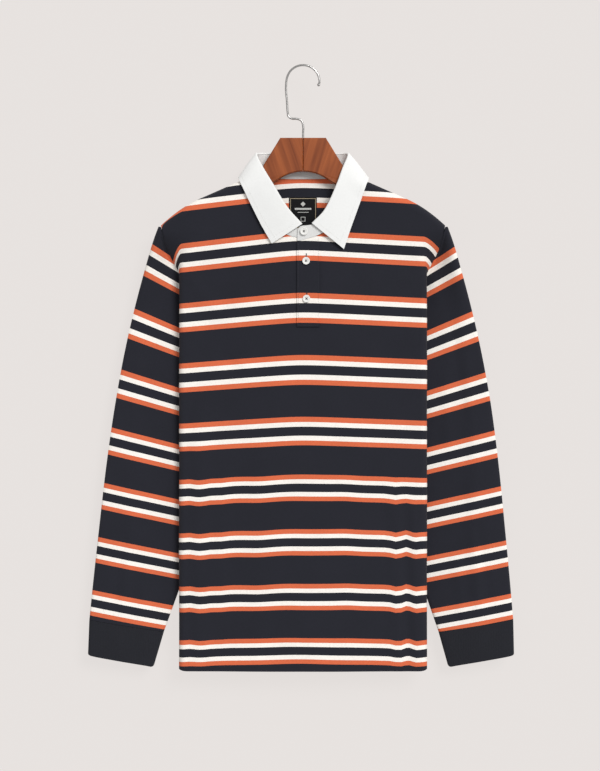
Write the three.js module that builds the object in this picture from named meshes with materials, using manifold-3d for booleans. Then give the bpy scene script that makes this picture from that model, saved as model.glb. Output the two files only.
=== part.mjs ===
// A striped long-sleeved rugby shirt hanging flat on a flat wooden hanger.
// Millimetres. +X is to the viewer's right, +Y goes into the back, +Z is up.
// The origin is under the top of the hook's bend, where a rail carries it.
// The shirt is wider than it shows: its sides are folded back behind it, and the
// sleeves, folded out again, come from behind the straight side folds.

import * as THREE from "three";
import { mergeVertices } from "three/addons/utils/BufferGeometryUtils.js";
import Module from "manifold-3d";

const wasm = await Module();
wasm.setup();

// ---- driving dimensions -------------------------------------------------------

const CLOTH = 1.2; // jersey wall
const SEAM_GAP = 0.4; // between pieces that are sewn together
const COLLAR_CLOTH = 1.4;

const HEM_Z = -877;
const FOLDED_HALF = 180; // half width of the body as folded
const CHEST_HALF = 280; // half width of the body laid open
const STRAIGHT_TOP_Z = -500; // below this the panels' columns are plumb
const FOLD_START_Z = -236; // where the side fold begins to turn
const FOLD_SPAN = 130; // height in which it turns right round
const FOLD_TURN = THREE.MathUtils.degToRad(178.5);
const FOLD_EASE = 1.6; // smallest bend of the inner layer

const NECK_HALF = 74;
const NECK_POINT_Z = -159;
const FRONT_NECK_Z = -250;
const BACK_NECK_Z = -163;
const SHOULDER_SLOPE = 0.44;
const SHOULDER_TIP = 206;
const SHOULDER_DROP_FROM = 150; // the shoulder rounds off outside this
const SHOULDER_DROP = 14;
const ARMHOLE = [
  [206, -231],
  [199, -258],
  [193, -284],
  [191, -305],
  [196, -345],
  [212, -395],
  [242, -445],
  [280, -480],
];

const ARMHOLE_WAIST_Z = -310; // the armhole cuts in deepest here

const PLACKET_LEFT = -9;
const PLACKET_RIGHT = 24;
const PLACKET_BOTTOM_Z = -378;
const SLOT_BOTTOM_Z = -373;
const BUTTON_R = 5.4;
const BUTTON_THICK = 2.2;

const SEAM_GAP_HALF = 0.8; // half distance between layers where they are sewn
const TOP_HALF_GAP = 8.5; // half distance between front and back over the hanger
const SIDE_HALF_GAP = 3.5; // the same at the side folds
const MID_HALF_GAP = 8;
// Each change below runs over a span, given as [where it starts, how far it takes].
const MIDDLE_CLOSES = [-260, 160]; // down the middle, below the neck
const EDGE_CLOSES = [-240, 60]; // down the sides, below the shoulder
const MIDDLE_TO_EDGE = [30, 125]; // across, from the middle to the sides
const SIDE_SEAM_CLOSES = [215, 62]; // across, to the seam on the folded side
const NECK_FULLNESS = 3.5; // more room round the neck and its label
const NECK_FULLNESS_WIDE = 85;
const NECK_FULLNESS_FROM = [-360, 90];
const SHOULDER_ROUNDS_IN = 12; // height in which the shoulder closes over
const FOLD_GAP_AT = 175; // the side fold takes its size from the gap here
const FOLD_GAP_BELOW_Z = -250;

const SLEEVE_HALF_GAP = 4;
const ARMHOLE_GAP = 0.8;
const TURN_EASE = 1; // straight cloth added at each step of the turn
const SLEEVE_DEPTH = 20.5; // how far behind the hanger the sleeves lie
const SLEEVE_EASE_FORWARD = 8;
const EASE_FORWARD_FROM = [182, 90]; // across, from the side fold outwards
const SLEEVE_SETTLES_BY = 0.3; // share of its length in which it leaves the armhole's form
const SLEEVE_SQUARENESS = 4; // how flat the tube is between its two edges
const SLEEVE_OUTER = [
  [206.5, -231.5],
  [222, -268],
  [243, -342],
  [260, -416],
  [275, -500],
  [287, -585],
  [297, -672],
  [305, -745],
  [311, -804],
];
const SLEEVE_INNER = [
  [80, -480.5],
  [141, -651],
  [203, -822],
];
const CUFF_OUTER_END = [313, -856];
const CUFF_INNER_END = [218, -873];
const RIGHT_SLEEVE_SWING = 0.016; // the right sleeve hangs a little closer in

const SWING_FROM_Z = -490;
const CUFF_CLOTH = 1.8;
const CUFF_HIGH = 50;
const CUFF_CORNER = 4;
const CUFF_CORNER_FROM = 0.88; // share of the cuff's height where its corners round in
const CUFF_CORNER_SHARP = 6;

const PLACKET_WIDE = PLACKET_RIGHT - PLACKET_LEFT;
const OVER_LAYER = 1.75; // the button band's outer layer, from the panel's middle
const OVER_TOP_LEFT_Z = -255.5;
const OVER_TOP_RIGHT_Z = -246;
const LABEL_TOP_Z = -189;
const LABEL_HIGH = 46;
const LABEL_THICK = 0.8;

const FOLD_ROLL = 1.15; // radius of the collar's fold
const LEAF_STEPS = 32;
const STAND_BELOW_FOLD = 3;
const STAND_LEAN = 0.2;
const NECK_SEAM_INSET = 1.1;

const BUTTON_EDGE = 0.5;
const BUTTON_HOLE_AT = 2;
const BUTTON_HOLE_R = 1.1; // at the middle of the thickness; the rims are rounded in
const BUTTONS = [
  [1.3, -240.5, 1.2],
  [4.4, -283, 0.4],
  [5, -337.5, 0.4],
];

const WOOD_TOP_Z = -104.4;
const WOOD_THICK = 12;
const WOOD_BEVEL = 1.2;
const WOOD_JOINT = 0.2; // half the gap at the glued middle joint
const WOOD_TOP_HALF = 33;
const WOOD_SHOULDER = [
  [57, -143.6],
  [62, -158],
];
const ARM_TOP_STATIONS = [72, 90, 110, 130, 150, 170];
const ARM_TIP = [
  [182, -221, 181, -230],
  [180, -241, 170, -238],
];
const ARM_UNDERSIDE = [41, -168];
const ARM_UNDER_MIDDLE_Z = -152.7;
const ARM_TIP_FROM = [110, 75]; // along the arm, where it thins towards its tip
const ARM_BELOW_SEAM = 9;
const ARM_TIP_TAPER = 0.45;
const HOOK_INNER_R = 22.3;
const WIRE_R = 1.6;
const TIP_R = 2.3;
const BORE_R = 2;
const BORE_DEEP = 24;
const WIRE_CLEAR = 0.6; // between the wire's lower end and the bottom of its hole
const HOOK_TIP = [22.6, -27];
const HOOK_NECK = [
  [0, -100],
  [0, -86],
  [-2.5, -79],
  [-9, -76.4],
  [-16, -76],
  [-21, -73],
  [-22.4, -66],
  [-23.4, -50],
  [-24.8, -33],
];
const HOOK_ARC_FROM = 165; // degrees round the bend
const HOOK_ARC_STEP = 27.5;

// ---- small helpers ------------------------------------------------------------

const clamp01 = (v) => Math.min(1, Math.max(0, v));
const smooth = (v) => clamp01(v) ** 2 * (3 - 2 * clamp01(v));
const mix = (a, b, f) => a + (b - a) * f;
const QUARTER = Math.PI / 2;
const ORIGIN_2D = new THREE.Vector2(0, 0);

function finish(colour, roughness, metalness = 0) {
  return new THREE.MeshStandardMaterial({ color: colour, roughness, metalness });
}

const NAVY = finish(0x22232b, 0.9);
const WHITE_TWILL = finish(0xf1f0ee, 0.85);
const LABEL_CLOTH = finish(0x17171a, 0.8);
const BUTTON_WHITE = finish(0xf4f2ee, 0.35);
const BROWN_WOOD = finish(0x905130, 0.45);
const STEEL = finish(0x9c9a98, 0.3, 0.9);

// A closed wall from a grid of cloth points: outer[i][j] and inner[i][j] are the two
// faces, and has(i, j) tells whether the cell between columns i, i + 1 and rows
// j, j + 1 is cloth. Columns run left to right and rows bottom to top, seen from
// outside. A tube's last column joins its first. Cells of the garment's left half are
// split along the other diagonal than those of its right half, and a tube's the other
// way round, so that the twisted faces along an armhole match on both sides of it.
function wallGeometry(outer, inner, has = () => true, tube = false) {
  const columns = outer.length;
  const rows = outer[0].length;
  const cells = tube ? columns : columns - 1;
  const positions = [...outer.flat(), ...inner.flat()].flatMap((p) => [p.x, p.y, p.z]);
  const inside = columns * rows;
  const at = (i, j) => (i % columns) * rows + j;
  const filled = (i, j) => {
    if (j < 0 || j >= rows - 1) return false;
    if (tube) return has((i + cells) % cells, j);
    return i >= 0 && i < cells && has(i, j);
  };
  const index = [];
  for (let i = 0; i < cells; i++) {
    const onLeft = outer[i][0].x + outer[(i + 1) % columns][0].x < 0;
    const quad = (a, b, c, d) =>
      onLeft !== tube ? index.push(a, b, d, b, c, d) : index.push(a, b, c, a, c, d);
    for (let j = 0; j < rows - 1; j++) {
      if (!filled(i, j)) continue;
      const [a, b, c, d] = [at(i, j), at(i + 1, j), at(i + 1, j + 1), at(i, j + 1)];
      quad(a, b, c, d);
      quad(d + inside, c + inside, b + inside, a + inside);
      if (!filled(i, j - 1)) quad(b, a, a + inside, b + inside);
      if (!filled(i, j + 1)) quad(d, c, c + inside, d + inside);
      if (!filled(i - 1, j)) quad(a, d, d + inside, a + inside);
      if (!filled(i + 1, j)) quad(c, b, b + inside, c + inside);
    }
  }
  const geometry = new THREE.BufferGeometry();
  geometry.setAttribute("position", new THREE.Float32BufferAttribute(positions, 3));
  geometry.setIndex(index);
  return geometry;
}

// The two faces of a sheet given by its middle points, by its own normals.
function thicken(middle, thickness) {
  const columns = middle.length;
  const rows = middle[0].length;
  const face = (side) =>
    middle.map((column, i) =>
      column.map((point, j) => {
        const across = new THREE.Vector3().subVectors(
          middle[Math.min(i + 1, columns - 1)][j],
          middle[Math.max(i - 1, 0)][j],
        );
        const along = new THREE.Vector3().subVectors(
          column[Math.min(j + 1, rows - 1)],
          column[Math.max(j - 1, 0)],
        );
        const normal = across.cross(along).normalize();
        return point.clone().addScaledVector(normal, (side * thickness) / 2);
      }),
    );
  return wallGeometry(face(1), face(-1));
}

function solid(geometry) {
  const bare = geometry.clone();
  bare.deleteAttribute("normal");
  bare.deleteAttribute("uv");
  const merged = mergeVertices(bare, 1e-4);
  return new wasm.Manifold(
    new wasm.Mesh({
      numProp: 3,
      vertProperties: merged.attributes.position.array,
      triVerts: new Uint32Array(merged.index.array),
    }),
  );
}

function geometryOf(manifold) {
  const mesh = manifold.getMesh();
  const geometry = new THREE.BufferGeometry();
  geometry.setAttribute("position", new THREE.BufferAttribute(mesh.vertProperties, 3));
  geometry.setIndex(new THREE.BufferAttribute(mesh.triVerts, 1));
  return geometry;
}

const shirtOnHanger = new THREE.Group();

function add(name, geometry, material) {
  const mesh = new THREE.Mesh(geometry, material);
  mesh.name = name;
  shirtOnHanger.add(mesh);
  return mesh;
}

// ---- the body's form ----------------------------------------------------------
// A point of the body is given by p, its place across the panel laid open, and z.

// Height of the shoulder seam.
function shoulderZ(p) {
  const past = Math.max(0, Math.abs(p) - SHOULDER_DROP_FROM) / (SHOULDER_TIP - SHOULDER_DROP_FROM);
  return NECK_POINT_Z - SHOULDER_SLOPE * (Math.abs(p) - NECK_HALF) - SHOULDER_DROP * past ** 2;
}

// Height of the neckline, a quarter ellipse on each side.
function neckZ(p, middleZ) {
  const rise = 1 - Math.sqrt(Math.max(0, 1 - (p / NECK_HALF) ** 2));
  return middleZ + (NECK_POINT_Z - middleZ) * rise;
}

// Half the distance between the front and back cloth.
function halfGap(p, z) {
  const a = Math.abs(p);
  const middle = mix(TOP_HALF_GAP, MID_HALF_GAP, smooth((MIDDLE_CLOSES[0] - z) / MIDDLE_CLOSES[1]));
  const edge = mix(TOP_HALF_GAP, SIDE_HALF_GAP, smooth((EDGE_CLOSES[0] - z) / EDGE_CLOSES[1]));
  const nearNeck = smooth((z - NECK_FULLNESS_FROM[0]) / NECK_FULLNESS_FROM[1]);
  const atNeck = NECK_FULLNESS * (1 - smooth(a / NECK_FULLNESS_WIDE)) * nearNeck;
  let gap = mix(middle, edge, smooth((a - MIDDLE_TO_EDGE[0]) / MIDDLE_TO_EDGE[1])) + atNeck;
  gap = mix(gap, SEAM_GAP_HALF, smooth((a - SIDE_SEAM_CLOSES[0]) / SIDE_SEAM_CLOSES[1]));
  const below = clamp01((shoulderZ(p) - z) / SHOULDER_ROUNDS_IN);
  return mix(SEAM_GAP_HALF, gap, Math.sqrt(1 - (1 - below) ** 2));
}

const foldTurn = (z) => FOLD_TURN * smooth((FOLD_START_Z - z) / FOLD_SPAN);
const foldRadius = (z) => halfGap(FOLD_GAP_AT, Math.min(z, FOLD_GAP_BELOW_Z)) + FOLD_EASE;

// The surface midway between front and back: its place and its front-facing
// direction in a level section.
function bodyMiddle(p, z) {
  const side = Math.sign(p) || 1;
  const radius = foldRadius(z);
  const turn = foldTurn(z);
  const bendFrom = FOLDED_HALF - 2 * radius + FOLD_EASE - CLOTH / 2;
  const run = Math.max(0, Math.abs(p) - bendFrom);
  const angle = Math.min(run / radius, turn);
  const flap = run - angle * radius;
  const x = Math.min(Math.abs(p), bendFrom) + radius * Math.sin(angle) + flap * Math.cos(angle);
  const y = radius * (1 - Math.cos(angle)) + flap * Math.sin(angle);
  return { x: side * x, y, nx: side * Math.sin(angle), ny: -Math.cos(angle), angle };
}

// off is measured from the middle surface, towards the front of the garment.
function bodyPoint(p, z, off) {
  const m = bodyMiddle(p, z);
  return new THREE.Vector3(m.x + off * m.nx, m.y + off * m.ny, z);
}

const armholeCurve = new THREE.SplineCurve(ARMHOLE.map(([p, z]) => new THREE.Vector2(p, z)));
const RING = [0, 0.035, 0.1, 0.17, 0.24, 0.31, 0.42, 0.58, 0.76, 0.92, 1];
const armholePoints = RING.map((u) => armholeCurve.getPointAt(u));

// ---- front and back panels ----------------------------------------------------
// Each column goes from the hem, at its place low, to its top edge at (high, top).

const ARMHOLE_LOWS = [187.6, 188.3, 189, 189.7, 190.3, 190.9, 195.5, 206, 228, 259, CHEST_HALF];
const FOLD_COLUMNS = [
  [186.8, 197],
  [182.8, 188],
  [178.8, 181.5],
  [174.8, 176],
  [170.8, 171],
  [148, 148],
  [110, 110],
];
const NECK_ANGLES = [90, 82, 70, 54, 38].map(THREE.MathUtils.degToRad);

function panelColumns(middleZ, centre) {
  const half = [
    ...armholePoints.map((q, k) => ({ low: ARMHOLE_LOWS[k], high: q.x, top: q.y })).reverse(),
    ...FOLD_COLUMNS.map(([low, high]) => ({ low, high, top: shoulderZ(high) })),
    ...NECK_ANGLES.map((angle) => NECK_HALF * Math.sin(angle)).map((p) => ({
      low: p,
      high: p,
      top: neckZ(p, middleZ),
    })),
  ];
  const mirrored = half.map((c) => ({ low: -c.low, high: -c.high, top: c.top }));
  const middle = centre.map((p) => ({ low: p, high: p, top: neckZ(p, middleZ) }));
  return [...mirrored, ...middle, ...half.reverse()];
}

const LOW_ROWS = [HEM_Z, -690];
const SLOT_STEPS = 4; // rows from STRAIGHT_TOP_Z up to the slot's lower end
const TOP_ROWS = [12, 5, 1.5, 0]; // rows close under the top edge, which rounds over
const LOW_ROWS_BELOW_TOP = 110; // rows keep at least this far below a low top edge
const STRAIGHT_BELOW_TOP = 90;
const FAN_BELOW_TOP = 60;

function rowHeights(top) {
  const share = (SLOT_BOTTOM_Z - STRAIGHT_TOP_Z) / (FRONT_NECK_Z - STRAIGHT_TOP_Z);
  const straightTop = Math.min(STRAIGHT_TOP_Z, top - STRAIGHT_BELOW_TOP);
  const slotZ = mix(straightTop, top, share);
  const rows = LOW_ROWS.map((z) => Math.min(z, top - LOW_ROWS_BELOW_TOP));
  for (let k = 0; k <= SLOT_STEPS; k++) rows.push(mix(straightTop, slotZ, k / SLOT_STEPS));
  rows.push(mix(slotZ, top - TOP_ROWS[0], 1 / 3), mix(slotZ, top - TOP_ROWS[0], 2 / 3));
  return [...rows, ...TOP_ROWS.map((below) => top - below)];
}

function panelPlaces(columns) {
  return columns.map(({ low, high, top }) => {
    const fanFrom = Math.min(ARMHOLE_WAIST_Z, top - FAN_BELOW_TOP);
    return rowHeights(top).map((z) => ({
      p: mix(low, high, clamp01((z - fanFrom) / (top - fanFrom)) ** 2),
      z,
    }));
  });
}

function panelFaces(places, sign) {
  const face = (extra) =>
    places.map((column) =>
      column.map(({ p, z }) => bodyPoint(p, z, sign * (halfGap(p, z) + extra))),
    );
  return [face(CLOTH / 2), face(-CLOTH / 2)];
}

const frontColumns = panelColumns(FRONT_NECK_Z, [-27, PLACKET_LEFT, 7.5, PLACKET_RIGHT, 34]);
const backColumns = panelColumns(BACK_NECK_Z, [-24, 0, 24]);
const frontPlaces = panelPlaces(frontColumns);
const backPlaces = panelPlaces(backColumns);
const slotColumns = frontColumns
  .map((c, i) => [c.low, i])
  .filter(([p]) => p >= PLACKET_LEFT && p < PLACKET_RIGHT)
  .map(([, i]) => i);
const slotRow = LOW_ROWS.length + SLOT_STEPS;

function buildPanels() {
  const [frontOut, frontIn] = panelFaces(frontPlaces, 1);
  const hasCloth = (i, j) => !(slotColumns.includes(i) && j >= slotRow);
  add("front_panel", wallGeometry(frontOut, frontIn, hasCloth), NAVY);
  const [backOut, backIn] = panelFaces(backPlaces, -1);
  add("back_panel", wallGeometry(backOut.reverse(), backIn.reverse()), NAVY);
}

buildPanels();

// ---- sleeves and cuffs --------------------------------------------------------
// A sleeve is a flattened tube. Its top ring is the armhole; the next rings turn
// it out again behind the side fold, and the rest run down to the cuff.

const TURN_RINGS = 3;
const SLEEVE_RINGS = 9;

// The middle surface of one sleeve at ring place k: the seam, then the turn.
function sleeveTurn(k, step) {
  const seam = armholePoints[k];
  const start = bodyMiddle(seam.x + ARMHOLE_GAP, seam.y);
  const gap = halfGap(seam.x, seam.y);
  const radius = gap + FOLD_EASE;
  const angle = start.angle * (1 - step / TURN_RINGS);
  const onward = TURN_EASE * step;
  const between = (start.angle + angle) / 2;
  const x =
    start.x + radius * (Math.sin(start.angle) - Math.sin(angle)) + onward * Math.cos(between);
  const y =
    start.y + radius * (Math.cos(angle) - Math.cos(start.angle)) + onward * Math.sin(between);
  return { x, y, z: seam.y, gap, nx: Math.sin(angle), ny: -Math.cos(angle) };
}

const turned = RING.map((u, k) => sleeveTurn(k, TURN_RINGS));

function edgeCurve(first, points) {
  const flat = points.slice(1).map(([x, z]) => new THREE.Vector2(x, z));
  return new THREE.SplineCurve([new THREE.Vector2(first.x, first.z), ...flat]);
}

const sleeveOuter = edgeCurve(turned[0], SLEEVE_OUTER);
const sleeveInner = edgeCurve(turned.at(-1), SLEEVE_INNER);

// Half the sleeve's own gap: full in the middle, closed at both edges.
function sleeveGap(u, full) {
  const round = (1 - (2 * u - 1) ** SLEEVE_SQUARENESS) ** (1 / SLEEVE_SQUARENESS);
  return mix(SEAM_GAP_HALF, full, round);
}

const forward = (x) => smooth((x - EASE_FORWARD_FROM[0]) / EASE_FORWARD_FROM[1]);
const restY = (x) => SLEEVE_DEPTH - SLEEVE_EASE_FORWARD * forward(x);

function sleeveBelow(k, b) {
  const u = RING[k];
  const outer = sleeveOuter.getPoint(b);
  const inner = sleeveInner.getPoint(b);
  const fade = (1 - b) ** 2;
  const place = (axis, seamAxis) =>
    mix(outer[axis], inner[axis], u) +
    fade * (turned[k][seamAxis] - mix(turned[0][seamAxis], turned.at(-1)[seamAxis], u));
  const x = place("x", "x");
  const z = place("y", "z");
  const settle = smooth(b / SLEEVE_SETTLES_BY);
  const y = mix(turned[k].y, restY(x), settle);
  const gap = mix(turned[k].gap, sleeveGap(u, SLEEVE_HALF_GAP), settle);
  return { x, y, z, gap, nx: 0, ny: -1 };
}

const swing = (side, z) => (side > 0 ? RIGHT_SLEEVE_SWING * Math.max(0, SWING_FROM_Z - z) : 0);

// The two faces of a tube from its rings of middle points, cuff end first.
function tubeGeometry(side, rings, wall) {
  const face = (sign) => {
    const loops = rings.map((ring) => {
      const points = ring.map((m, k) => {
        const end = k === 0 || k === ring.length - 1;
        const near = ring[k === 0 ? 1 : k - 1];
        const length = Math.hypot(near.x - m.x, near.z - m.z, near.y - m.y);
        const inset = end && sign < 0 ? wall / length : 0;
        const at = (axis) => mix(m[axis], near[axis], inset);
        return (off) => {
          const x = at("x") + off * m.nx;
          const z = at("z");
          return new THREE.Vector3(side * (x - swing(side, z)), at("y") + off * m.ny, z);
        };
      });
      const front = points.map((f, k) => f(ring[k].gap + (sign * wall) / 2));
      const back = points.map((f, k) => f(-ring[k].gap - (sign * wall) / 2));
      const loop = [...front, ...back.reverse()];
      return side < 0 ? loop : loop.reverse();
    });
    return loops[0].map((_, i) => loops.map((loop) => loop[i]));
  };
  return wallGeometry(face(1), face(-1), () => true, true);
}

function cuffMiddle(k, v) {
  const u = RING[k];
  const [endOuter, endInner] = [CUFF_OUTER_END, CUFF_INNER_END];
  const f = mix(SEAM_GAP / CUFF_HIGH, 1, v);
  const edge = (curve, end, axis, e) => mix(curve.getPoint(1)[axis], end[e], f);
  const along = (axis, e) =>
    mix(edge(sleeveOuter, endOuter, axis, e), edge(sleeveInner, endInner, axis, e), u);
  const round = CUFF_CORNER * smooth((v - CUFF_CORNER_FROM) / (1 - CUFF_CORNER_FROM));
  const x = along("x", 0) + round * (u < 0.5 ? -1 : 1) * Math.abs(2 * u - 1) ** CUFF_CORNER_SHARP;
  return { x, y: restY(x), z: along("y", 1), gap: sleeveGap(u, SLEEVE_HALF_GAP), nx: 0, ny: -1 };
}

function buildSleeve(name, side) {
  const below = Array.from({ length: SLEEVE_RINGS }, (_, j) => 1 - j / SLEEVE_RINGS);
  const rings = [
    ...below.map((b) => RING.map((u, k) => sleeveBelow(k, b))),
    ...[3, 2, 1, 0].map((step) => RING.map((u, k) => sleeveTurn(k, step))),
  ];
  add("sleeve_" + name, tubeGeometry(side, rings, CLOTH), NAVY);
  const cuffRings = [1, 0.9, 0.5, 0].map((v) => RING.map((u, k) => cuffMiddle(k, v)));
  add("cuff_" + name, tubeGeometry(side, cuffRings, CUFF_CLOTH), NAVY);
}

buildSleeve("left", -1);
buildSleeve("right", 1);

// ---- placket and label --------------------------------------------------------

// A layer on a panel: sign 1 is the front, and off is from the cloth's middle.
function layer(columns, rowsOf, sign, off, thickness) {
  const face = (extra) =>
    columns.map((p) =>
      rowsOf(p).map((z) => bodyPoint(p, z, sign * (halfGap(p, z) + off + extra))),
    );
  const [outer, inner] = [face(thickness / 2), face(-thickness / 2)];
  return wallGeometry(outer, inner);
}

const overTopZ = (p) => mix(OVER_TOP_LEFT_Z, OVER_TOP_RIGHT_Z, (p - PLACKET_LEFT) / PLACKET_WIDE);

function buildPlacket() {
  const underRows = (p) => {
    const rows = rowHeights(neckZ(p, FRONT_NECK_Z)).slice(slotRow);
    rows[0] += SEAM_GAP;
    return rows;
  };
  const underColumns = [PLACKET_LEFT + SEAM_GAP, 0, 7.5, 16, PLACKET_RIGHT - SEAM_GAP];
  add("placket_under", layer(underColumns, underRows, 1, 0, CLOTH), NAVY);
  const steps = [0, 0.2, 0.4, 0.6, 0.8, 1];
  const overRows = (p) => steps.map((v) => mix(PLACKET_BOTTOM_Z, overTopZ(p), v));
  const overColumns = [PLACKET_LEFT, 7.5, PLACKET_RIGHT];
  add("placket_over", layer(overColumns, overRows, 1, OVER_LAYER, COLLAR_CLOTH), NAVY);
}

function buildLabel() {
  const columns = [-20, -10, 0, 10, 20].reverse();
  const rows = [0, 1 / 3, 2 / 3, 1].map((v) => mix(LABEL_TOP_Z - LABEL_HIGH, LABEL_TOP_Z, v));
  const off = -(CLOTH + LABEL_THICK) / 2 - SEAM_GAP;
  add("neck_label", layer(columns, () => rows, -1, off, LABEL_THICK), LABEL_CLOTH);
}

buildPlacket();
buildLabel();

// ---- collar -------------------------------------------------------------------
// The stand rises from the neckline; the leaf turns over its top and falls outside.
// Stations run from the left front, round the back, to the right front.

const FOLD_LINE = [
  [-1.5, -14.8, -230],
  [-22, -15.8, -207],
  [-45.5, -14.2, -169],
  [-58, -9.5, -148],
  [-66.5, -0.5, -128.5],
  [-60, 9, -125.8],
  [-42, 12.5, -125.2],
  [0, 13.5, -125],
  [42, 12.5, -125.2],
  [58.5, 9, -125.8],
  [64.5, -0.5, -128.5],
  [57, -9.5, -150],
  [48.5, -14.2, -173],
  [31, -15.8, -210],
  [13, -15.2, -229],
];
const LEAF_EDGE = [
  [-45, -14.2, -258],
  [-60, -14, -232],
  [-79, -13.6, -194],
  [-88.5, -12.8, -174],
  [-94, -0.5, -162.5],
  [-88, 13.5, -172],
  [-68, 15.5, -183],
  [0, 16.2, -186],
  [68, 15.5, -183],
  [88, 13.5, -172],
  [95, -0.5, -162.5],
  [91, -12.8, -174],
  [83, -13.6, -197],
  [69, -14, -236],
  [59, -14.2, -266],
];
const vectors = (points) => points.map((p) => new THREE.Vector3(...p));
const foldLine = new THREE.CatmullRomCurve3(vectors(FOLD_LINE));
const leafEdge = new THREE.CatmullRomCurve3(vectors(LEAF_EDGE));
const LAST_STATION = FOLD_LINE.length - 1;
const foldAt = (station) => foldLine.getPoint(station / LAST_STATION);
const edgeAt = (station) => leafEdge.getPoint(station / LAST_STATION);

// One cross-section of the leaf, from its lower edge up and over the fold.
function leafSection(station) {
  const [fold, edge] = [foldAt(station), edgeAt(station)];
  const tangent = foldLine.getTangent(station / LAST_STATION);
  const down = new THREE.Vector3().subVectors(edge, fold);
  const length = down.length();
  down.normalize();
  const out = new THREE.Vector3().crossVectors(tangent, down).normalize();
  const at = (along, off) =>
    fold.clone().addScaledVector(down, along).addScaledVector(out, off);
  const r = FOLD_ROLL;
  return [
    edge,
    at(length * 0.72, r),
    at(length * 0.4, r * 1.9),
    at(r * 3, r * 2.1),
    at(r, r * 2),
    at(r * 0.3, r * 1.7),
    at(0, r),
    at(r * 0.3, r * 0.3),
    at(r * 1.1, 0),
  ];
}

function buildLeaf() {
  const stations = [];
  for (let s = 0; s <= LEAF_STEPS; s++) stations.push((LAST_STATION * s) / LEAF_STEPS);
  add("collar_leaf", thicken(stations.reverse().map(leafSection), COLLAR_CLOTH), WHITE_TWILL);
}

// The stand's seam on the neckline, a little inside it, at a neck angle.
function seamPoint(sideways, angle, sign, off = 0) {
  const middleZ = sign > 0 ? FRONT_NECK_Z : BACK_NECK_Z;
  const p = sideways * (NECK_HALF - NECK_SEAM_INSET) * Math.sin(angle);
  const z = NECK_POINT_Z - (NECK_POINT_Z - middleZ - SEAM_GAP) * Math.cos(angle);
  return bodyPoint(p, z, sign * (halfGap(p, z) + off));
}

function buildStand() {
  const deg = THREE.MathUtils.degToRad;
  const angleOf = (p) => Math.asin(p / NECK_HALF);
  const fromFold = (station) => {
    const fold = foldAt(station);
    return (bottom) => {
      const e = new THREE.Vector3().subVectors(bottom, fold).normalize();
      return fold.addScaledVector(e, STAND_BELOW_FOLD);
    };
  };
  const level = (x, z) => (bottom) => new THREE.Vector3(x, bottom.y - STAND_LEAN, z);
  const over = (p, z) => bodyPoint(p, z, halfGap(p, z) + OVER_LAYER);
  const sections = [
    [seamPoint(1, angleOf(20), 1), level(19, -234)],
    [seamPoint(1, angleOf(7.5), 1), level(7.5, -233)],
    [seamPoint(-1, angleOf(9), 1), level(-8, -236)],
    [seamPoint(-1, angleOf(27), 1), fromFold(0.9)],
    [seamPoint(-1, deg(38), 1), fromFold(1.5)],
    [seamPoint(-1, deg(54), 1), fromFold(2.1)],
    [seamPoint(-1, deg(70), 1), fromFold(3)],
    [seamPoint(-1, deg(82), 1), fromFold(3.5)],
    [seamPoint(-1, deg(90), 1), fromFold(4)],
    [seamPoint(-1, deg(82), -1), fromFold(4.3)],
    [seamPoint(-1, deg(70), -1), fromFold(4.6)],
    [seamPoint(-1, deg(54), -1), fromFold(5.2)],
    [seamPoint(-1, deg(38), -1), fromFold(5.9)],
    [seamPoint(-1, angleOf(24), -1), fromFold(6.4)],
    [seamPoint(1, 0, -1), fromFold(7)],
    [seamPoint(1, angleOf(24), -1), fromFold(7.6)],
    [seamPoint(1, deg(38), -1), fromFold(8.1)],
    [seamPoint(1, deg(54), -1), fromFold(8.8)],
    [seamPoint(1, deg(70), -1), fromFold(9.4)],
    [seamPoint(1, deg(82), -1), fromFold(9.7)],
    [seamPoint(1, deg(90), 1), fromFold(10)],
    [seamPoint(1, deg(82), 1), fromFold(10.5)],
    [seamPoint(1, deg(70), 1), fromFold(11)],
    [seamPoint(1, deg(54), 1), fromFold(11.9)],
    [seamPoint(1, deg(38), 1), fromFold(12.5)],
    [seamPoint(1, angleOf(34), 1, 0.7), fromFold(12.9)],
    [seamPoint(1, angleOf(24), 1, OVER_LAYER), fromFold(13.3)],
    [over(16, overTopZ(16) + SEAM_GAP), level(15.5, -229.5)],
    [over(7.5, overTopZ(7.5) + SEAM_GAP), level(7.5, -231.5)],
    [over(-5, overTopZ(-5) + SEAM_GAP), level(-3.5, -233)],
    [over(-8.5, overTopZ(-8.5) + 1.5), level(-7.5, -237)],
  ];
  const middle = sections.map(([bottom, topOf]) => {
    const top = topOf(bottom);
    return [0, 0.5, 1].map((v) => bottom.clone().lerp(top, v));
  });
  add("collar_stand", thicken(middle.reverse(), COLLAR_CLOTH), WHITE_TWILL);
}

buildLeaf();
buildStand();

// ---- buttons ------------------------------------------------------------------

function buttonGeometry() {
  const disc = new THREE.Shape().absarc(0, 0, BUTTON_R - BUTTON_EDGE, 0, 2 * Math.PI);
  for (let hole = 0; hole < 4; hole++) {
    const middle = new THREE.Vector2(BUTTON_HOLE_AT, 0).rotateAround(ORIGIN_2D, (hole + 0.5) * QUARTER);
    const rim = Array.from({ length: 6 }, (_, k) =>
      new THREE.Vector2(BUTTON_HOLE_R, 0).rotateAround(ORIGIN_2D, (k * Math.PI) / 3).add(middle),
    );
    disc.holes.push(new THREE.Path(rim));
  }
  return new THREE.ExtrudeGeometry(disc, {
    depth: BUTTON_THICK - 2 * BUTTON_EDGE,
    bevelThickness: BUTTON_EDGE,
    bevelSize: BUTTON_EDGE,
    bevelSegments: 1,
    curveSegments: 12,
  });
}

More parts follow.
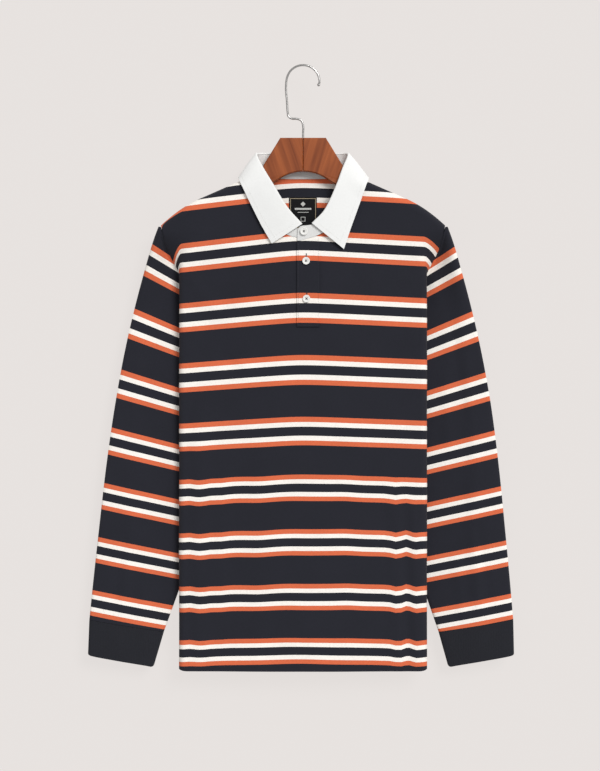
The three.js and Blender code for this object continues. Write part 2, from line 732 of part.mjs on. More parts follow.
BUTTONS.forEach(([x, z, off], i) => {
  const button = add("button_" + (i + 1), buttonGeometry(), BUTTON_WHITE);
  const front = bodyPoint(x, z, halfGap(x, z) + OVER_LAYER + COLLAR_CLOTH / 2 + off);
  button.rotation.x = Math.PI / 2;
  button.position.set(x, front.y - BUTTON_EDGE, z);
});

// ---- hanger -------------------------------------------------------------------

function armShape() {
  const shape = new THREE.Shape();
  shape.moveTo(WOOD_JOINT, WOOD_TOP_Z);
  shape.lineTo(WOOD_TOP_HALF, WOOD_TOP_Z);
  for (const [x, z] of WOOD_SHOULDER) shape.lineTo(x, z);
  for (const p of ARM_TOP_STATIONS) shape.lineTo(p, shoulderZ(p) - ARM_BELOW_SEAM);
  for (const curve of ARM_TIP) shape.quadraticCurveTo(...curve);
  shape.lineTo(...ARM_UNDERSIDE);
  shape.quadraticCurveTo(22, ARM_UNDER_MIDDLE_Z, WOOD_JOINT, ARM_UNDER_MIDDLE_Z);
  return shape;
}

function armSolid(side) {
  const arm = new THREE.ExtrudeGeometry(armShape(), {
    depth: WOOD_THICK - 2 * WOOD_BEVEL,
    bevelThickness: WOOD_BEVEL,
    bevelSize: WOOD_BEVEL,
    bevelOffset: -WOOD_BEVEL,
    bevelSegments: 1,
    curveSegments: 6,
  });
  arm.rotateX(Math.PI / 2);
  arm.translate(0, WOOD_THICK / 2 - WOOD_BEVEL, 0);
  const places = arm.attributes.position;
  for (let i = 0; i < places.count; i++) {
    const thin = 1 - ARM_TIP_TAPER * smooth((places.getX(i) - ARM_TIP_FROM[0]) / ARM_TIP_FROM[1]);
    places.setY(i, places.getY(i) * thin);
  }
  if (side < 0) arm.rotateZ(Math.PI);
  const bore = new THREE.CylinderGeometry(BORE_R, BORE_R, 2 * BORE_DEEP, 12);
  bore.rotateX(Math.PI / 2);
  bore.translate(0, 0, WOOD_TOP_Z);
  return geometryOf(solid(arm).subtract(solid(bore)));
}

function hookGeometry() {
  const arcR = HOOK_INNER_R + WIRE_R;
  const route = [[0, WOOD_TOP_Z - BORE_DEEP + WIRE_CLEAR], ...HOOK_NECK];
  for (let angle = HOOK_ARC_FROM; angle >= 0; angle -= HOOK_ARC_STEP) {
    const a = THREE.MathUtils.degToRad(angle);
    route.push([arcR * Math.cos(a), arcR * Math.sin(a) - HOOK_INNER_R]);
  }
  route.push(HOOK_TIP);
  const path = new THREE.CatmullRomCurve3(route.map(([x, z]) => new THREE.Vector3(x, 0, z)));
  const section = new THREE.Shape().absarc(0, 0, WIRE_R, 0, 2 * Math.PI);
  const wire = new THREE.ExtrudeGeometry(section, {
    extrudePath: path,
    steps: 48,
    curveSegments: 4,
  });
  const tip = new THREE.SphereGeometry(TIP_R, 10, 8);
  tip.translate(HOOK_TIP[0], 0, HOOK_TIP[1]);
  return geometryOf(solid(wire).add(solid(tip)));
}

add("hanger_arm_left", armSolid(-1), BROWN_WOOD);
add("hanger_arm_right", armSolid(1), BROWN_WOOD);
add("hanger_hook", hookGeometry(), STEEL);

export default shirtOnHanger;
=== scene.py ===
# %% [markdown]
# # A striped rugby shirt on a wooden hanger
#
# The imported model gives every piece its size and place. This file dresses it: each cloth
# piece is made again as a fine thin shell on the same form, with its folds, its stripes and
# its stitches. The buttons and the wire hook are made again too, and the wood is stained.

# %% Load the frame
import math
import bpy
import numpy as np
from mathutils import Matrix, Vector


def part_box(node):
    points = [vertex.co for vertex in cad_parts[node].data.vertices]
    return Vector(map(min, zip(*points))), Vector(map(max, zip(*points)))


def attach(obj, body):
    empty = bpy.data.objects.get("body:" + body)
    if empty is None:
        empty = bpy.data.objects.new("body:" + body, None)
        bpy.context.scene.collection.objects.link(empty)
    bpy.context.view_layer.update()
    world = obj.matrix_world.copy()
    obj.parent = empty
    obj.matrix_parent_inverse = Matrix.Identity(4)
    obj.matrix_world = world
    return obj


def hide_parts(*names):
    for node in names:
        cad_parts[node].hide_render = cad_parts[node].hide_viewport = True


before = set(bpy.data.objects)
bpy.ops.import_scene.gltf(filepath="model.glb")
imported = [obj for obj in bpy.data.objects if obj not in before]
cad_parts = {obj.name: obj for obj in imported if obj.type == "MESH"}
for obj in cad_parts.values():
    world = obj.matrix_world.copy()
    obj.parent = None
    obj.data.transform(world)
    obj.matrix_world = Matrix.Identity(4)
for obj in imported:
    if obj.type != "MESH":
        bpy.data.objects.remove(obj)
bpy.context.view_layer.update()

MM = 0.001

# %% [markdown]
# ## Camera
#
# The shirt is seen square on from three metres, so the lens is long and hardly any
# perspective shows.

# %% Camera
CAMERA_DISTANCE = 3.0
VIEW_HIGH = 1.118
VIEW_MIDDLE_X = -0.0044
VIEW_MIDDLE_Z = -0.463
SENSOR = 36.0

camera_data = bpy.data.cameras.new("camera")
camera_data.sensor_width = SENSOR
camera_data.lens = SENSOR * CAMERA_DISTANCE / VIEW_HIGH
camera = bpy.data.objects.new("camera", camera_data)
camera.location = (VIEW_MIDDLE_X, -CAMERA_DISTANCE, VIEW_MIDDLE_Z)
camera.rotation_euler = (math.pi / 2, 0, 0)
bpy.context.scene.collection.objects.link(camera)
bpy.context.scene.camera = camera
bpy.context.scene.view_settings.view_transform = "Standard"
print("lens", round(camera_data.lens, 1))

# %% [markdown]
# ## Light
#
# One wide soft sun from the upper right gives the shallow shadows, and an even grey world
# fills them. A sun was chosen over a lamp because it lights the whole wall alike.

# %% Light
WALL_COLOUR = (0.799, 0.761, 0.740)
WORLD_FILL = 0.50
SUN_SHARE = 0.54
SUN_TRAVEL = Vector((-0.40, 0.80, -0.46)).normalized()

sun_data = bpy.data.lights.new("sun", "SUN")
sun_data.energy = SUN_SHARE * math.pi / SUN_TRAVEL.y
sun_data.angle = 0.45
sun = bpy.data.objects.new("sun", sun_data)
sun.rotation_euler = SUN_TRAVEL.to_track_quat("-Z", "Y").to_euler()
bpy.context.scene.collection.objects.link(sun)

world = bpy.data.worlds.new("studio")
bpy.context.scene.world = world
world.use_nodes = True
fill = world.node_tree.nodes["Background"]
fill.inputs["Strength"].default_value = 1.0
path = world.node_tree.nodes.new("ShaderNodeLightPath")
shade = world.node_tree.nodes.new("ShaderNodeMix")
shade.data_type = "RGBA"
shade.inputs[6].default_value = (WORLD_FILL, WORLD_FILL, WORLD_FILL, 1)
shade.inputs[7].default_value = (*WALL_COLOUR, 1)
world.node_tree.links.new(path.outputs["Is Camera Ray"], shade.inputs[0])
world.node_tree.links.new(shade.outputs[2], fill.inputs["Color"])
print("sun strength", round(sun_data.energy, 2))


# %% [markdown]
# ## Small helpers for materials
#
# A finish is a chain of nodes. Four helpers make a material with its shader, add a node with
# its settings, do one step of arithmetic and link two sockets, so that each finish below
# reads as a short recipe.

# %% Material helpers
def new_finish(name, roughness, **shader_values):
    material = bpy.data.materials.new(name)
    material.use_nodes = True
    shader = material.node_tree.nodes["Principled BSDF"]
    shader.inputs["Roughness"].default_value = roughness
    for socket, value in shader_values.items():
        shader.inputs[socket.replace("_", " ")].default_value = value
    return material, shader


def add_node(material, kind, inputs=(), **settings):
    node = material.node_tree.nodes.new(kind)
    for key, value in settings.items():
        setattr(node, key, value)
    for socket, value in dict(inputs).items():
        if isinstance(value, bpy.types.NodeSocket):
            material.node_tree.links.new(value, node.inputs[socket])
        else:
            node.inputs[socket].default_value = value
    return node


def maths(material, operation, a, b=0.0):
    return add_node(material, "ShaderNodeMath", {0: a, 1: b}, operation=operation).outputs[0]


def link(material, source, target):
    material.node_tree.links.new(source, target)


print("material helpers ready")


# %% [markdown]
# ## Wall
#
# The shirt hangs in front of a plain painted wall. Part of the wall's brightness is its own,
# which keeps the shading round the shirt faint. It shows only from its front, so that the
# back of the shirt can be looked at too.

# %% Wall
wall_finish, wall_shader = new_finish("wall_paint", 0.95)
WALL_GLOW = 0.92
wall_shader.inputs["Base Color"].default_value = (*[c * (1 - WALL_GLOW) for c in WALL_COLOUR], 1)
wall_shader.inputs["Emission Color"].default_value = (*WALL_COLOUR, 1)
wall_shader.inputs["Emission Strength"].default_value = WALL_GLOW
wall_shader.inputs["Specular IOR Level"].default_value = 0.0
wall_side = add_node(wall_finish, "ShaderNodeNewGeometry").outputs["Backfacing"]
see_through = add_node(wall_finish, "ShaderNodeBsdfTransparent").outputs[0]
wall_mix = add_node(wall_finish, "ShaderNodeMixShader", {0: wall_side})
link(wall_finish, wall_shader.outputs[0], wall_mix.inputs[1])
link(wall_finish, see_through, wall_mix.inputs[2])
link(wall_finish, wall_mix.outputs[0], wall_finish.node_tree.nodes["Material Output"].inputs[0])

WALL_Y = 0.042
WALL_HALF = 4.0
bpy.ops.object.select_all(action="DESELECT")
bpy.ops.mesh.primitive_plane_add(size=2 * WALL_HALF, location=(0, WALL_Y, -0.5),
                                 rotation=(math.pi / 2, 0, 0))
wall = bpy.context.object
wall.name = "wall"
wall.data.materials.append(wall_finish)
wall.visible_shadow = False
print("wall", WALL_Y, "m behind the middle of the hanger")

# %% [markdown]
# ## Jersey, rib, twill and woven label
#
# Jersey is knitted in one piece of coloured yarns, so its stripes belong to the cloth: they
# must bend with it. Each cloth point therefore carries a number, stripe, which grows by one
# from each group of stripes to the next. A colour ramp turns its fraction into orange, cream,
# navy, cream, orange and the wide navy. The stitches are far finer than the stripes, so they
# are bump and a slight change of shade.

# %% Cloth colours
NAVY = (0.0165, 0.0170, 0.0245, 1)
ORANGE = (0.715, 0.150, 0.062, 1)
CREAM = (0.965, 0.915, 0.852, 1)
WHITE = (0.87, 0.87, 0.855, 1)
# The stand's white is the collar's white twill painted greyer: painted shade, for the shade that the
# leaf casts on the stand.
STAND_WHITE_PAINTED_SHADE = (0.73, 0.725, 0.71, 1)
STRIPE_BANDS = [(0.0, ORANGE), (0.083, CREAM), (0.163, NAVY),
                (0.315, CREAM), (0.397, ORANGE), (0.480, NAVY)]
WALE_PITCH = 1.1 * MM
COURSE_PITCH = 0.9 * MM


def knit(material, shader, across, along, depth, shade_by):
    """Fine ribs both ways from the cloth's own map, as bump, and a soft change of shade."""
    cloth = add_node(material, "ShaderNodeUVMap", uv_map="cloth").outputs[0]
    wale = add_node(material, "ShaderNodeTexWave", {"Vector": cloth, "Scale": 0.314 / across},
                    bands_direction="X").outputs["Fac"]
    course = add_node(material, "ShaderNodeTexWave", {"Vector": cloth, "Scale": 0.314 / along},
                      bands_direction="Y").outputs["Fac"]
    stitch = maths(material, "MULTIPLY", wale, course)
    lumps = add_node(material, "ShaderNodeTexNoise", {"Vector": cloth, "Scale": 350.0, "Detail": 4.0})
    height = maths(material, "ADD", stitch, maths(material, "MULTIPLY", lumps.outputs[0], 0.5))
    bump = add_node(material, "ShaderNodeBump", {"Strength": 0.5, "Distance": depth, "Height": height})
    link(material, bump.outputs[0], shader.inputs["Normal"])
    wide = add_node(material, "ShaderNodeTexNoise", {"Vector": cloth, "Scale": 24.0, "Detail": 3.0})
    mottled = maths(material, "ADD", maths(material, "MULTIPLY", lumps.outputs[0], 0.6),
                    maths(material, "MULTIPLY", wide.outputs[0], 0.4))
    return add_node(material, "ShaderNodeMapRange",
                    {0: mottled, 1: 0.3, 2: 0.7, 3: 1 - shade_by, 4: 1 + shade_by}).outputs[0]


def shaded(material, shader, colour, brightness):
    tint = add_node(material, "ShaderNodeVectorMath", {0: colour, "Scale": brightness},
                    operation="SCALE").outputs[0]
    link(material, tint, shader.inputs["Base Color"])


def make_jersey():
    material, shader = new_finish("striped_jersey", 0.9, Sheen_Weight=0.06, Sheen_Roughness=0.5,
                                  Specular_IOR_Level=0.22)
    place = add_node(material, "ShaderNodeAttribute", attribute_name="stripe").outputs["Fac"]
    share = maths(material, "FRACT", place)
    ramp = add_node(material, "ShaderNodeValToRGB", {0: share})
    ramp.color_ramp.interpolation = "CONSTANT"
    while len(ramp.color_ramp.elements) < len(STRIPE_BANDS):
        ramp.color_ramp.elements.new(1.0)
    for element, (start, colour) in zip(ramp.color_ramp.elements, STRIPE_BANDS):
        element.position = start
        element.color = colour
    brightness = knit(material, shader, WALE_PITCH, COURSE_PITCH, 0.00025, 0.09)
    shaded(material, shader, ramp.outputs[0], brightness)
    return material


def make_plain_cloth(name, colour, across, along, depth, shade_by, roughness):
    material, shader = new_finish(name, roughness, Sheen_Weight=0.05, Specular_IOR_Level=0.22)
    brightness = knit(material, shader, across, along, depth, shade_by)
    shaded(material, shader, colour[:3], brightness)
    return material


JERSEY = make_jersey()
RIB = make_plain_cloth("navy_rib", (0.0165, 0.0172, 0.0225, 1), 2.4 * MM, 1.2 * MM, 0.0006, 0.12, 0.92)
TWILL = make_plain_cloth("white_twill", WHITE, 0.7 * MM, 0.7 * MM, 0.00012, 0.025, 0.8)
# The stand's finish is the same twill with painted shade: its colour is darkened for the leaf's shade,
# not a different cloth.
STAND_TWILL_PAINTED_SHADE = make_plain_cloth("stand_twill_painted_shade", STAND_WHITE_PAINTED_SHADE, 0.7 * MM, 0.7 * MM, 0.00012, 0.03, 0.85)
print("cloth finishes", JERSEY.name, RIB.name, TWILL.name)

# %% [markdown]
# ## The form of the body
#
# The shirt is wider than it looks on the hanger. Its sides are folded back, and the sleeves
# come out again from behind. A place on a panel is p, measured across the cloth laid open,
# and z, its height. These functions turn it into a point in space, as in the model, so the
# fine cloth lies on the solid cloth, but for its folds. They work on whole arrays at once.

# %% Body form, in millimetres
CLOTH = 1.2
HEM_Z = -877.0
FOLDED_HALF = 180.0
CHEST_HALF = 280.0
FOLD_START_Z = -236.0
FOLD_SPAN = 130.0
FOLD_TURN = math.radians(178.5)
FOLD_EASE = 1.6
NECK_HALF = 74.0
NECK_POINT_Z = -159.0
FRONT_NECK_Z = -250.0
BACK_NECK_Z = -163.0
SEAM_HALF_GAP = 0.8
SEAM_GAP = 0.4
SHOULDER_FALL = 0.44
SHOULDER_ROUNDS_FROM, SHOULDER_ROUNDS_OVER, SHOULDER_ROUNDS_BY = 150.0, 56.0, 14.0
MIDDLE_GAP, LOW_MIDDLE_GAP, EDGE_GAP, NECK_EXTRA_GAP = 8.5, 8.0, 3.5, 3.5
MIDDLE_CLOSES_Z, MIDDLE_CLOSES_OVER = -260.0, 160.0
EDGE_CLOSES_Z, EDGE_CLOSES_OVER = -240.0, 60.0
NECK_FULL_HALF, NECK_FULL_Z, NECK_FULL_OVER = 85.0, -360.0, 90.0
MIDDLE_HALF, MIDDLE_TO_EDGE = 30.0, 125.0
SIDE_CLOSES_FROM, SIDE_CLOSES_OVER = 215.0, 62.0
TOP_ROUNDING = 12.0
FOLD_GAP_AT, FOLD_GAP_TOP_Z = 175.0, -250.0


def smooth(v):
    v = np.clip(v, 0, 1)
    return v * v * (3 - 2 * v)


def mix(a, b, f):
    return a + (b - a) * f


def shoulder_z(p):
    past = np.maximum(0, np.abs(p) - SHOULDER_ROUNDS_FROM) / SHOULDER_ROUNDS_OVER
    return NECK_POINT_Z - SHOULDER_FALL * (np.abs(p) - NECK_HALF) - SHOULDER_ROUNDS_BY * past ** 2


def neck_z(p, middle_z):
    rise = 1 - np.sqrt(np.maximum(0, 1 - (p / NECK_HALF) ** 2))
    return middle_z + (NECK_POINT_Z - middle_z) * rise


def half_gap(p, z):
    a = np.abs(p)
    middle = mix(MIDDLE_GAP, LOW_MIDDLE_GAP, smooth((MIDDLE_CLOSES_Z - z) / MIDDLE_CLOSES_OVER))
    edge = mix(MIDDLE_GAP, EDGE_GAP, smooth((EDGE_CLOSES_Z - z) / EDGE_CLOSES_OVER))
    near_neck = (1 - smooth(a / NECK_FULL_HALF)) * smooth((z - NECK_FULL_Z) / NECK_FULL_OVER)
    gap = mix(middle, edge, smooth((a - MIDDLE_HALF) / MIDDLE_TO_EDGE)) + NECK_EXTRA_GAP * near_neck
    gap = mix(gap, SEAM_HALF_GAP, smooth((a - SIDE_CLOSES_FROM) / SIDE_CLOSES_OVER))
    below = np.clip((shoulder_z(p) - z) / TOP_ROUNDING, 0, 1)
    return mix(SEAM_HALF_GAP, gap, np.sqrt(1 - (1 - below) ** 2))


def body_middle(p, z):
    side = np.where(p < 0, -1.0, 1.0)
    radius = half_gap(FOLD_GAP_AT + 0 * z, np.minimum(z, FOLD_GAP_TOP_Z)) + FOLD_EASE
    turn = FOLD_TURN * smooth((FOLD_START_Z - z) / FOLD_SPAN)
    bend_from = FOLDED_HALF - 2 * radius + FOLD_EASE - CLOTH / 2
    run = np.maximum(0, np.abs(p) - bend_from)
    angle = np.minimum(run / radius, turn)
    flap = run - angle * radius
    x = np.minimum(np.abs(p), bend_from) + radius * np.sin(angle) + flap * np.cos(angle)
    y = radius * (1 - np.cos(angle)) + flap * np.sin(angle)
    return side * x, y, side * np.sin(angle), -np.cos(angle), angle


def body_point(p, z, off):
    x, y, nx, ny, _ = body_middle(p, z)
    return np.stack([x + off * nx, y + off * ny, z + 0 * x], -1)


print("half gap at the middle of the chest", round(float(half_gap(0.0, -500.0)), 2))

# %% [markdown]
# ## Creases
#
# Hanging jersey has a few long soft folds: a ripple down the front on the right, a shallow
# dip on the left, and creases that run from the armholes. Each is a ridge or a trough along a
# straight line, with a width and a height, that fades out at both ends. They are placed where
# the real cloth folds. A cloth simulation was not tried. Similar folds lie on the back and on
# the sleeves.

# %% Creases: start x, z, end x, z, width, height, in millimetres
FRONT_CREASES = [
    (132, -560, 139, -890, 8, 1.9), (147, -590, 153, -890, 6, -1.5), (161, -600, 166, -890, 6, 1.2),
    (-150, -430, -146, -890, 13, 1.5), (-166, -440, -163, -890, 7, -0.7),
    (-118, -520, -122, -860, 11, 0.9),
    (-176, -292, -112, -372, 9, 1.3), (-172, -330, -92, -452, 11, -1.1),
    (176, -290, 118, -362, 9, 1.3), (172, -326, 100, -446, 11, -1.1),
    (-60, -470, -66, -800, 20, 0.8), (58, -520, 66, -850, 20, -0.8), (8, -560, 2, -860, 24, 0.7),
    (-66, -262, -96, -338, 13, 0.9), (80, -268, 104, -336, 13, 0.8),
]
BACK_CREASES = [
    (-70, -230, -128, -330, 14, 1.2), (70, -230, 124, -334, 14, 1.2), (0, -260, 4, -520, 26, -1.0),
    (-52, -420, -60, -860, 18, 1.0), (56, -460, 50, -860, 18, -1.0), (-20, -600, -14, -870, 16, 0.9),
]
SLEEVE_CREASES = [
    (228, -300, 262, -700, 9, 1.2), (212, -330, 236, -520, 8, -1.1), (240, -560, 262, -800, 8, 1.2),
    (204, -420, 214, -560, 9, 1.0), (252, -640, 280, -800, 8, -1.0), (222, -690, 240, -812, 8, 1.0),
]


SWELL_HIGH = 0.35
FADE_IN, FADE_OUT, PAST_END = 0.3, 0.2, 1.04
CREASES_BELOW_SHOULDER, CREASES_EASE_IN = 8.0, 40.0
CREASES_END_AT, CREASES_EASE_OUT = 196.0, 24.0


def crease_lift(x, z, creases):
    """The folds' height at a place, over a faint wide swell that keeps the cloth from looking flat."""
    total = SWELL_HIGH * np.sin(x / 29 + z / 83) * np.sin(z / 61 - x / 47)
    for x0, z0, x1, z1, width, height in creases:
        length_squared = (x1 - x0) ** 2 + (z1 - z0) ** 2
        along = ((x - x0) * (x1 - x0) + (z - z0) * (z1 - z0)) / length_squared
        near = np.clip(along, 0, 1)
        away = np.hypot(x - mix(x0, x1, near), z - mix(z0, z1, near))
        fade = smooth(along / FADE_IN) * smooth((PAST_END - along) / FADE_OUT)
        total = total + height * np.exp(-((away / width) ** 2)) * fade
    return total


def body_lift(p, z, creases):
    below = smooth((shoulder_z(p) - z - CREASES_BELOW_SHOULDER) / CREASES_EASE_IN)
    return crease_lift(p, z, creases) * below * smooth((CREASES_END_AT - np.abs(p)) / CREASES_EASE_OUT)


print("creases on the front", len(FRONT_CREASES), "and on the back", len(BACK_CREASES))


# %% [markdown]
# ## Where the stripes fall
#
# The groups of stripes are 90 mm apart at the chest and 79 mm near the hem, and the pitch
# eases from one to the other at the waist. Each group is highest in the middle and drops to
# the sides, less and less down the shirt, bends down into the armhole, and low on the shirt
# it follows the folds. The back's groups lie lower at the neck and meet the front's at the
# side seams. On a sleeve the groups slant, steeply at the shoulder and gently at the cuff.
# Each of these is a formula with a few sizes. It gives a group's height, and a group number
# is found for every cloth point by halving an interval.

# %% Stripe places
FIRST_GROUP_Z = -239.5
CHEST_PITCH = 89.7
LOW_PITCH = 78.7
PITCH_EASES_FROM = 2.5
PITCH_EASES_OVER = 1.8
CREST_WIDE = 25.0
DROP_LEFT, DROP_LEFT_FADES = 19.0, 5.0
DROP_RIGHT, DROP_RIGHT_FADES = 8.5, 9.0
BACK_GROUPS_LOWER = 11.0
SEAM_MATCH_FROM, SEAM_MATCH_OVER = 60.0, 110.0
BEND_FROM = 174.0
BEND_EASES_OVER = 8.0
BEND_AT_SHOULDER = 0.75
BEND_AT_LEFT_FOLD = 2.1
BEND_AT_RIGHT_FOLD = 0.95
BEND_STEEPENS_Z, BEND_STEEPENS_OVER = -225.0, 40.0
BEND_ENDS_Z, BEND_ENDS_OVER = -320.0, 50.0
PULL_BY_FOLD = 1.2
PULL_BELOW_Z, PULL_EASES_OVER = -520.0, 90.0
SLEEVE_FIRST_Z = -265.5
SLEEVE_PITCH = 76.6
SLEEVE_TOP_STRETCH, SLEEVE_STRETCH_FADES = 57.0, 1.7
CUFF_SLANT = 0.19
SHOULDER_SLANT, SHOULDER_SLANT_FADES = 0.45, 1.6
SLEEVE_MIDDLE_X = 207.0
RIGHT_SLEEVE_LOWER = 4.5
LOWEST_GROUP, HIGHEST_GROUP = -3.0, 11.0
HALVINGS = 26


def fading(k, groups):
    return np.exp(-np.maximum(k, 0) / groups)


def body_group_z(k):
    """A group's height at the middle of the body: wide pitch above, closer below."""
    past = k - PITCH_EASES_FROM
    u = np.clip(past / PITCH_EASES_OVER, 0, 1)
    closer = PITCH_EASES_OVER * (u ** 3 - u ** 4 / 2) + np.maximum(0, past - PITCH_EASES_OVER)
    return FIRST_GROUP_Z - CHEST_PITCH * k + (CHEST_PITCH - LOW_PITCH) * closer


def sleeve_group_z(k):
    stretch = SLEEVE_TOP_STRETCH * (1 - np.exp(-k / SLEEVE_STRETCH_FADES))
    return SLEEVE_FIRST_Z - SLEEVE_PITCH * k - stretch


def group_through(z, height_of):
    """The group number whose stripe passes through height z. Heights fall as groups rise."""
    low, high = np.full(z.shape, LOWEST_GROUP), np.full(z.shape, HIGHEST_GROUP)
    for _ in range(HALVINGS):
        middle = (low + high) / 2
        above = height_of(middle) > z
        low, high = np.where(above, middle, low), np.where(above, high, middle)
    return (low + high) / 2


def body_stripe(p, z, creases, lower=0.0):
    crest = np.hypot(np.minimum(np.abs(p), FOLDED_HALF), CREST_WIDE) - CREST_WIDE
    out = crest / (math.hypot(FOLDED_HALF, CREST_WIDE) - CREST_WIDE)
    at_fold = np.where(p < 0, BEND_AT_LEFT_FOLD, BEND_AT_RIGHT_FOLD)
    steep = mix(BEND_AT_SHOULDER, at_fold, smooth((BEND_STEEPENS_Z - z) / BEND_STEEPENS_OVER))
    past = np.maximum(0, np.abs(p) - BEND_FROM)
    bend = steep * past ** 2 / (past + BEND_EASES_OVER) * smooth((z - BEND_ENDS_Z) / BEND_ENDS_OVER)
    pulled = smooth((PULL_BELOW_Z - z) / PULL_EASES_OVER)
    bend = bend + PULL_BY_FOLD * body_lift(p, z, creases) * pulled
    lower = lower * (1 - smooth((np.abs(p) - SEAM_MATCH_FROM) / SEAM_MATCH_OVER))

    def height(k):
        left, right = DROP_LEFT * fading(k, DROP_LEFT_FADES), DROP_RIGHT * fading(k, DROP_RIGHT_FADES)
        return body_group_z(k) - lower - np.where(p < 0, left, right) * out - bend
    return group_through(np.asarray(z, float), height)


def sleeve_stripe(x, z, side):
    lower = RIGHT_SLEEVE_LOWER if side > 0 else 0.0

    def height(k):
        slant = CUFF_SLANT + SHOULDER_SLANT * np.exp(-k / SHOULDER_SLANT_FADES)
        return sleeve_group_z(k) + slant * (np.abs(x) - SLEEVE_MIDDLE_X) - lower
    return group_through(np.asarray(z, float), height)


print("groups at the middle", np.round(body_group_z(np.arange(8.0)), 0))


# %% [markdown]
# ## A thin shell from a grid
#
# Every cloth piece is a grid of points with an outer and an inner face, joined by a rim at
# its open edges. It is built in mesh code, because the points come from formulas. The shell
# carries its stripe number and a map in metres for the knit.

# %% Shell helper
SHELL_EDGE_DEGREES = 50


def smooth_below(piece, degrees):
    """Smooth shading everywhere but at edges sharper than this."""
    bpy.ops.object.select_all(action="DESELECT")
    piece.select_set(True)
    bpy.context.view_layer.objects.active = piece
    bpy.ops.object.shade_smooth_by_angle(angle=math.radians(degrees))


def make_shell(name, outer, inner, finish, cloth_map, stripe=None, tube=False, keep=None):
    columns, rows = outer.shape[:2]
    cells = columns if tube else columns - 1
    keep = np.ones((cells, rows - 1), bool) if keep is None else keep
    inside = columns * rows

    def at(i, j):
        return (i % columns) * rows + j

    def solid(i, j):
        if tube:
            i = i % cells
        return 0 <= i < cells and 0 <= j < rows - 1 and keep[i, j]

    faces = []
    for i in range(cells):
        for j in range(rows - 1):
            if not keep[i, j]:
                continue
            a, b, c, d = at(i, j), at(i + 1, j), at(i + 1, j + 1), at(i, j + 1)
            faces.append((a, b, c, d))
            faces.append((d + inside, c + inside, b + inside, a + inside))
            if not solid(i, j - 1):
                faces.append((b, a, a + inside, b + inside))
            if not solid(i, j + 1):
                faces.append((d, c, c + inside, d + inside))
            if not solid(i - 1, j):
                faces.append((a, d, d + inside, a + inside))
            if not solid(i + 1, j):
                faces.append((c, b, b + inside, c + inside))
    points = np.concatenate([outer.reshape(-1, 3), inner.reshape(-1, 3)]) * MM
    used = np.unique(np.array(faces))
    renumber = np.full(len(points), -1)
    renumber[used] = np.arange(len(used))
    mesh = bpy.data.meshes.new(name)
    mesh.from_pydata(points[used].tolist(), [], renumber[np.array(faces)].tolist())
    mesh.update()
    maps = np.concatenate([cloth_map.reshape(-1, 2)] * 2)[used] * MM
    corners = np.empty(len(mesh.loops), int)
    mesh.loops.foreach_get("vertex_index", corners)
    layer = mesh.uv_layers.new(name="cloth")
    layer.data.foreach_set("uv", maps[corners].astype(np.float32).ravel())
    if stripe is not None:
        values = np.concatenate([stripe.ravel()] * 2)[used].astype(np.float32)
        mesh.attributes.new("stripe", "FLOAT", "POINT").data.foreach_set("value", values)
    mesh.materials.append(finish)
    shell = bpy.data.objects.new(name, mesh)
    bpy.context.scene.collection.objects.link(shell)
    smooth_below(shell, SHELL_EDGE_DEGREES)
    print(name, len(mesh.polygons), "faces")
    return shell


def finish_piece(piece, slot, *nodes):
    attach(piece, "root")
    if nodes:
        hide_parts(*nodes)


print("shells are smooth up to", SHELL_EDGE_DEGREES, "degrees")

# %% [markdown]
# ## Curves
#
# The armhole, the sleeve's edges and the collar's fold are curves through a few chosen
# points. These are the same two kinds of curve that the model uses, so that the edges agree.

# %% Curve helpers
def flat_curve(points, t):
    points = np.array(points, float)
    last = len(points) - 1
    place = np.clip(np.asarray(t, float), 0, 1) * last
    k = np.minimum(place.astype(int), last - 1)
    w = (place - k)[..., None]
    p0 = points[np.maximum(k - 1, 0)]
    p1, p2 = points[k], points[k + 1]
    p3 = points[np.minimum(k + 2, last)]
    v0, v1 = (p2 - p0) / 2, (p3 - p1) / 2
    return (2 * p1 - 2 * p2 + v0 + v1) * w ** 3 + (3 * p2 - 3 * p1 - 2 * v0 - v1) * w ** 2 + v0 * w + p1


def even_curve(points, u):
    t = np.linspace(0, 1, 201)
    line = flat_curve(points, t)
    run = np.concatenate([[0], np.cumsum(np.hypot(*np.diff(line, axis=0).T))])
    return flat_curve(points, np.interp(np.asarray(u) * run[-1], run, t))


def space_curve(points, t):
    points = np.array(points, float)
    last = len(points) - 1
    ends = np.vstack([2 * points[0] - points[1], points, 2 * points[-1] - points[-2]])
    place = np.clip(np.asarray(t, float), 0, 1) * last
    k = np.minimum(place.astype(int), last - 1)
    w = (place - k)[..., None]
    p0, p1, p2, p3 = (ends[k + n] for n in range(4))
    steps = ((p0, p1), (p1, p2), (p2, p3))
    d0, d1, d2 = (np.sqrt(np.linalg.norm(b - a, axis=-1))[..., None] for a, b in steps)
    m1 = ((p1 - p0) / d0 - (p2 - p0) / (d0 + d1) + (p2 - p1) / d1) * d1
    m2 = ((p2 - p1) / d1 - (p3 - p1) / (d1 + d2) + (p3 - p2) / d2) * d1
    return (2 * p1 - 2 * p2 + m1 + m2) * w ** 3 + (3 * p2 - 3 * p1 - 2 * m1 - m2) * w ** 2 + m1 * w + p1


print("curve helpers ready")

# %% [markdown]
# ## Front and back panels
#
# A panel is cut with its armholes, shoulders and neck as its top edge. Its columns run from
# the hem to that edge and fan out a little under the armhole. The front has a slot for the
# placket. Fine rows keep the stripes smooth where they bend round the side folds.

